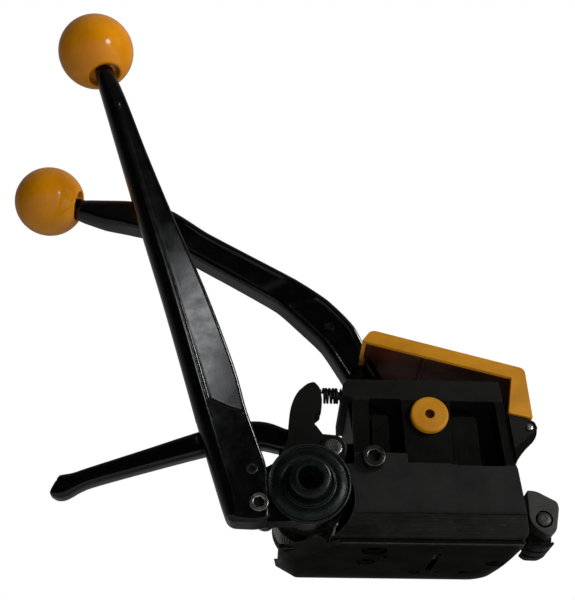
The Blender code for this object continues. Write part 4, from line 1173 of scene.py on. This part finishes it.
def feed_shaft_parts():
    shaft = [
        (4.4, -16.0), (4.9, -17.0), (4.9, -40.6), (5.4, -41.2), (6.0, -40.4), (6.0, 23.2), (5.2, 24.0),
        (2.6, 24.0), (2.2, 23.4),
    ]
    put(turned("feed_shaft_detail", HUB, shaft, 56, TOOL), "feed_shaft", "tool_steel", "feed_shaft")
    teeth, tip, root = 72, 15.0, 14.45
    wheel = []
    for i in range(teeth):
        wheel.append(polar(HUB, tip, 360.0 * i / teeth))
        wheel.append(polar(HUB, root, 360.0 * (i + 0.5) / teeth))
    gear("feed_wheel", wheel, -6.0, 12.0, 0.1)
    gear("drive_ratchet", ratchet_outline(DRIVE_FLANK), -40.9, -35.4)
    gear("holding_ratchet", ratchet_outline(DRIVE_FLANK), -20.0, -14.0)


# --------------------------------------------------------- sealing lever

def web_depth(x, across):
    """Depth of the front web: one run up to the bend rib, one past it."""
    place = x + 0.5 * across
    arm = smooth_step(place, -131.0, -112.0) * (1 - smooth_step(place, -71.0, -67.0))
    root = smooth_step(place, -56.5, -52.0) * (1 - smooth_step(x, -27.0, -21.0))
    return 1.35 * arm + 1.15 * root


def corner_arc(centre, radius, start, steps=5):
    return [(centre[0] + radius * math.cos(math.radians(start + 90 * i / steps)),
             centre[1] + radius * math.sin(math.radians(start + 90 * i / steps))) for i in range(steps + 1)]


def forged_section(station):
    """A forging with a front web between two flanges, rounder at its neck."""
    x, _, _, width, depth = station
    half, deep = width / 2, depth / 2
    neck = 1 - smooth_step(x, -176.0, -140.0)
    corner = min(half, deep) * (0.40 + 0.52 * neck)
    points = corner_arc((half - corner, deep - corner), corner, 0)
    points += corner_arc((corner - half, deep - corner), corner, 90)
    points += corner_arc((corner - half, corner - deep), corner, 180)
    low, high = half - corner, corner - half
    walls = ((0.0, 0.0), (0.6, 0.03), (0.95, 0.25), (1.25, 0.75), (1.6, 0.97), (2.0, 1.0))
    front = [(high + along, share) for along, share in walls]
    front += [(high + 2.0 + (low - high - 4.0) * i / 6, 1.0) for i in range(1, 6)]
    front += [(low - along, share) for along, share in walls[::-1]]
    points += [(across, web_depth(x, across) * share - deep) for across, share in front[1:-1]]
    points += corner_arc((half - corner, corner - deep), corner, 270)[:-1]
    return points


def sealing_lever():
    made = blade("sealing_lever_detail", resample(SEAL_STATIONS, 14, 0.55), forged_section, ENAMEL)
    root = [(-12.8, 86.0), (-26.4, 78.4), (-6.8, 55.0), SEAL_AXIS, (9.2, 62.8)]
    tang = [(3.6, -21), (4.2, -17), (4.2, -6)]
    join(
        made,
        slab("root", root, 2.2, 13.8, ENAMEL),
        drum("hub", SEAL_AXIS, 9.2, 2.0, 14.0, 64, ENAMEL),
        lathe("tang", SEAL_KNOB, knob_axis(SEAL_KNOB, SEAL_NECK), tang, 32, ENAMEL),
    )
    cut(
        made,
        drum("hub_bore", SEAL_AXIS, SHAFT_BORE, -10, 30),
        drum("pin_bore", LEVER_PIN, 2.8, -10, 30, 32),
        drum("pin_sink", LEVER_PIN, 3.3, -10, 3.6, 40),
    )
    return put(made, "sealing_lever", "gloss_black", "sealing_lever")


def sealing_parts():
    aim = knob_axis(SEAL_KNOB, SEAL_NECK)
    ball("sealing_ball_detail", SEAL_KNOB, aim, SEAL_BALL, "sealing_lever", "sealing_knob")
    cap = [
        (0.6, -28.3), (2.4, -28.3), (2.9, -28.4), (5.2, -28.35), (5.5, -28.25), (7.6, -28.4),
        (8.2, -28.15), (8.55, -27.6), (8.55, -25.6), (8.3, -25.3), (0.6, -25.3),
    ]
    made = turned("shaft_cap_detail", SEAL_AXIS, cap, 96, COVER)
    # The hole is lined with painted shade.
    cut(made, drum("hole", SEAL_AXIS, 2.2, -30, -25.9, 40, AMBER_PAINTED_SHADE))
    put(made, "sealing_lever", "amber_plastic", "shaft_cap")
    pin = [(0.8, 1.9), (1.2, 1.7), (2.1, 1.7), (2.5, 2.1), (2.5, 13.9), (2.1, 14.3)]
    made = turned("cross_pin_detail", LEVER_PIN, pin, 40, SPRING)
    put(made, "sealing_lever", "bright_steel", "lever_cross_pin")
    shaft = [(2.0, -24.4), (5.4, -25.0), (6.0, -24.4), (6.0, 21.1), (5.4, 21.7), (1.5, 21.7), (1.2, 20.6)]
    made = turned("sealing_shaft_detail", SEAL_AXIS, shaft, 56, TOOL)
    put(made, "sealing_lever", "tool_steel", "sealing_shaft")


def return_springs():
    for side, x in (("left", -8.0), ("right", 24.0)):
        spring = coil("return_spring_%s_detail" % side, (x, 4.0, 14.3), (0, 0, 1), 7.4, 2.6, 0.45, 3)
        put(spring, "frame", "spring_steel", "return_spring_" + side)
        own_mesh(spring)


# ------------------------------------------------------- cover and guide

def lid():
    face = rounded([
        (-23.4, 103.0), (-27.9, 97.1), (37.9, 79.9), (40.6, 79.3), (37.6, 61.6), (48.5, 58.9),
        (47.4, 82.6), (46.0, 84.3),
    ], [2.6, 0.8, 0.6, 0.6, 0.8, 0.8, 2.6, 2.6], 6)
    made = slab("cover_detail", face, -26.5, 21.8, COVER)
    soften(made, 0.7, 3)
    room = rounded([
        (-22.6, 100.7), (-26.2, 96.2), (-30.0, 80.0), (37.0, 50.0), (46.0, 50.0), (46.3, 58.0),
        (45.4, 82.2),
    ], [1.2, 0.5, 0, 0, 0, 0, 1.4], 4)
    notch = [(-40, 80), (-17.4, 80), (-18.2, 97.6), (-23.4, 106.5), (-26, 110), (-40, 110)]
    # The room here and the rib below take painted shade on the cover's inner faces.
    cut(
        made,
        slab("room", room, -24.3, 19.6, AMBER_PAINTED_SHADE),
        slab("notch", notch, 1.4, 15.0),
        slab("trim", box_outline((-45.0, 84.0), (-22.0, 98.0)), -7.0, 1.7),
    )
    rib = [(2.2, 95.2), (1.5, 93.2), (2.0, 92.0), (3.0, 91.7), (3.6, 92.4), (4.4, 94.5)]
    lug = arc(LID_PIN, 3.2, 180, 360, 20) + [(48.3, 60.0), (46.9, 72.0), (44.6, 72.0)]
    join(
        made,
        slab("rib", rib, -25.0, 20.4, AMBER_PAINTED_SHADE),
        slab("lug_front", lug, -22.1, -18.6),
        slab("lug_rear", lug, 14.2, 17.7),
    )
    cut(made, drum("pin_bore", LID_PIN, 2.0, *THROUGH, 32))
    soften(made, 0.22, 2, 50)
    return put(made, "lid", "amber_plastic", "lid")


def strap_guide():
    knuckle = rounded([
        (42.2, 25.4), (41.9, 10.2), (49.8, 4.4), (53.4, 7.2), (55.6, 17.4), (55.2, 20.2), (46.4, 25.0),
    ], [1.2, 6.0, 5.0, 4.0, 1.2, 2.4, 3.0], 8)
    made = slab("strap_guide_detail", knuckle, -25.0, -16.6, KNUCKLE)
    soften(made, 0.5, 3)
    # The ring seat takes painted shade.
    cut(
        made,
        drum("bore", GUIDE_PIN, 3.4, *THROUGH, 56),
        drum("ring_seat", GUIDE_PIN, 3.9, -30, -23.6, 56, PAINTED_SHADE_FILL),
    )
    put(made, "strap_guide", "worn_steel", "strap_guide")
    web = rounded([(42.6, 11.0), (42.4, 3.4), (52.2, 3.4), (52.8, 8.0)], 1.0, 3)
    lower = slab("guide_web_detail", web, -17.8, -3.0, GUIDE_STEEL)
    rear = arc(GUIDE_PIN, 5.0, -20, 200, 24) + [(44.0, 3.0), (51.6, 3.0)]
    join(lower, slab("rear", rear, -3.4, 1.8))
    soften(lower, 0.5, 3)
    cut(lower, drum("bore", GUIDE_PIN, 3.4, *THROUGH, 56))
    put(lower, "strap_guide", "worn_steel")
    shoe = rounded([
        (42.2, 3.9), (44.4, 2.1), (50.4, 1.9), (53.8, 3.8), (53.4, 4.9), (50.0, 3.2), (44.8, 3.3),
        (42.6, 4.9),
    ], [0.3, 1.2, 2.0, 0.5, 0.4, 1.6, 1.2, 0.3], 5)
    for i, (front, back) in enumerate(((-17.2, -11.4), (-9.8, -4.0), (-2.4, 2.6))):
        leaf = slab("guide_leaf_%d" % i, shoe, front, back, GUIDE_STEEL)
        soften(leaf, 0.25, 2)
        put(leaf, "strap_guide", "worn_steel")


# ----------------------------------------------------------------- stage

PITCH, YAW, ROLL = (math.radians(angle) for angle in (30.0, 1.5, 0.3))
CAMERA_SPOT = (-74.38, -461.42, -132.90)
SENSOR, LENS, CLIP = 36.0, 63.0, (0.01, 20.0)


def camera():
    """The low front view, looking up at the tool."""
    forward = Vector((math.sin(YAW) * math.cos(PITCH), math.cos(YAW) * math.cos(PITCH), math.sin(PITCH)))
    right = Vector((math.cos(YAW), -math.sin(YAW), 0.0))
    up = right.cross(forward)
    across = right * math.cos(ROLL) + up * math.sin(ROLL)
    over = up * math.cos(ROLL) - right * math.sin(ROLL)
    data = bpy.data.cameras.new("camera")
    data.sensor_width = SENSOR
    data.lens = LENS
    data.clip_start, data.clip_end = CLIP
    made = bpy.data.objects.new("camera", data)
    bpy.context.scene.collection.objects.link(made)
    turn = Matrix((across, over, -forward)).transposed().to_4x4()
    made.matrix_world = Matrix.Translation(Vector(CAMERA_SPOT) * MM) @ turn
    bpy.context.scene.camera = made


def softbox(name, spot, aim, size, power, tint):
    data = bpy.data.lights.new(name, "AREA")
    data.shape = "RECTANGLE"
    data.size, data.size_y = size
    data.energy = power
    data.color = tint
    made = bpy.data.objects.new(name, data)
    bpy.context.scene.collection.objects.link(made)
    made.location = Vector(spot)
    made.rotation_mode = "QUATERNION"
    made.rotation_quaternion = (Vector(aim) - Vector(spot)).to_track_quat("-Z", "Y")
    return made


def world():
    """White for the camera; softer, and dimmer in front, for the light."""
    made = bpy.data.worlds.new("studio")
    bpy.context.scene.world = made
    made.use_nodes = True
    tree = made.node_tree
    new, link = tree.nodes.new, tree.links.new
    place = new("ShaderNodeTexCoord")
    split = new("ShaderNodeSeparateXYZ")
    link(place.outputs["Generated"], split.inputs[0])
    ramps = []
    for axis, low, high, first, last in (("Y", -0.35, 0.75, 0.015, 0.16), ("Z", 0.5, 1.0, 0.0, 0.14)):
        ramp = new("ShaderNodeMapRange")
        link(split.outputs[axis], ramp.inputs["Value"])
        names = ("From Min", "From Max", "To Min", "To Max")
        for name, value in zip(names, (low, high, first, last)):
            ramp.inputs[name].default_value = value
        ramps.append(ramp)
    behind, above = ramps
    behind.interpolation_type = "SMOOTHSTEP"
    total = new("ShaderNodeMath")
    total.operation = "ADD"
    link(behind.outputs[0], total.inputs[0])
    link(above.outputs[0], total.inputs[1])
    studio = tree.nodes["Background"]
    link(total.outputs[0], studio.inputs["Strength"])
    white = new("ShaderNodeBackground")
    white.inputs["Strength"].default_value = 1.0
    for shown in (studio, white):
        shown.inputs["Color"].default_value = (1.0, 1.0, 1.0, 1.0)
    rays = new("ShaderNodeLightPath")
    mix = new("ShaderNodeMixShader")
    link(rays.outputs["Is Camera Ray"], mix.inputs[0])
    link(studio.outputs[0], mix.inputs[1])
    link(white.outputs[0], mix.inputs[2])
    link(mix.outputs[0], tree.nodes["World Output"].inputs["Surface"])


def pale_sheet():
    """The floor, just under the sole."""
    half, level = 3000.0, -0.8
    corners = [(-half, -half, level), (half, -half, level), (half, half, level), (-half, half, level)]
    mesh = bpy.data.meshes.new("floor")
    mesh.from_pydata([Vector(corner) * MM for corner in corners], [], [(0, 1, 2, 3)])
    mesh.materials.append(pale_floor())
    floor = bpy.data.objects.new("floor", mesh)
    bpy.context.scene.collection.objects.link(floor)
    return floor


MIDDLE = (-0.08, -0.01, 0.12)
WHITE, WARM, COOL = (1.0, 1.0, 1.0), (1.0, 0.98, 0.95), (0.94, 0.98, 1.0)
BLADE_TURN = -15.0
BALLS = ("tension_ball_detail", "sealing_ball_detail")

# Each light's name, place, aim, size, power and tint, in metres and watts.
LIGHTS = (
    ("key", (0.62, -0.90, 0.24), MIDDLE, (0.23, 0.23), 3.6, WARM),
    ("side", (1.3, -0.5, 0.75), MIDDLE, (0.8, 0.8), 12.5, WHITE),
    ("top", (0.2, 0.2, 1.4), MIDDLE, (0.9, 0.9), 4.0, WHITE),
    ("below", (0.0, -0.55, -0.75), (0, 0, 0), (0.7, 0.5), 3.0, WHITE),
    ("low_fill", (-0.2, -0.55, -0.75), (-0.15, 0, 0.2), (0.7, 0.5), 0.6, WHITE),
    ("blade_strip", (-0.342, -1.30, 0.697), (-0.118, -0.046, 0.10), (0.12, 0.24), 0.70, COOL),
    ("rim_strip", (0.66, -0.70, 0.88), MIDDLE, (0.20, 0.22), 6.5, WHITE),
    ("edge_strip", (0.95, -0.20, 0.78), MIDDLE, (0.30, 0.60), 14.0, WHITE),
)
UNSEEN = ("side", "top", "below", "low_fill")
LIT_ALONE = (
    ("low_fill", BALLS),
    ("blade_strip", ("tension_lever_detail",)),
    ("rim_strip", ("tension_lever_detail",)),
    ("edge_strip", ("sealing_lever_detail", "ratchet_cover_detail", "rocker_detail")),
)


def stage():
    view = bpy.context.scene.view_settings
    view.view_transform = "Standard"
    view.look = "None"
    world()
    floor = pale_sheet()
    lights = {row[0]: softbox(*row) for row in LIGHTS}
    for name in UNSEEN:
        lights[name].visible_glossy = False
    blade_light = lights["blade_strip"]
    turn = Quaternion((0, 0, 1), math.radians(BLADE_TURN))
    blade_light.rotation_quaternion = blade_light.rotation_quaternion @ turn
    clear_of(lights["below"], floor, *BALLS)
    for name, pieces in LIT_ALONE:
        only_for(lights[name], *pieces)


def only_for(light, *names):
    """Makes a light fall on the named pieces alone."""
    group = bpy.data.collections.new(light.name + "_lights")
    for name in names:
        group.objects.link(bpy.data.objects[name])
    light.light_linking.receiver_collection = group


def clear_of(light, floor, *unlit):
    """Lets the low light pass the floor, which it neither lights nor is stopped by."""
    for role, names in (("receiver_collection", unlit), ("blocker_collection", ())):
        group = bpy.data.collections.new(light.name + "_" + role)
        group.objects.link(floor)
        for name in names:
            group.objects.link(bpy.data.objects[name])
        for entry in group.collection_objects:
            entry.light_linking.link_state = "EXCLUDE"
        setattr(light.light_linking, role, group)


# -------------------------------------------------------------- assembly

OILED = ("die_dowel_left", "die_dowel_right", "rail_dowel")
BARE = (
    "holding_pawl_pin", "holding_pawl", "drive_pawl", "sealing_cam", "punch_holder", "cutter_blade",
    "notch_punch_left", "notch_punch_right",
)


def kept_nodes():
    """CAD nodes that are shown as they are, with a finished material."""
    for names, material in ((OILED, DARK_SCREW), (BARE, TOOL)):
        for name in names:
            slots = frame["nodes"][name].data.materials
            slots.clear()
            slots.append(material)


def main():
    camera()
    body_casting()
    pocket_pads()
    base_plate()
    side_rail()
    rear_cheek()
    inserts()
    fixed_fasteners()
    lid_bracket()
    rocker_frame()
    rocker_handle()
    rocker_parts()
    tension_lever()
    tension_parts()
    feed_shaft_parts()
    sealing_lever()
    sealing_parts()
    return_springs()
    lid()
    strap_guide()
    kept_nodes()
    stage()


main()
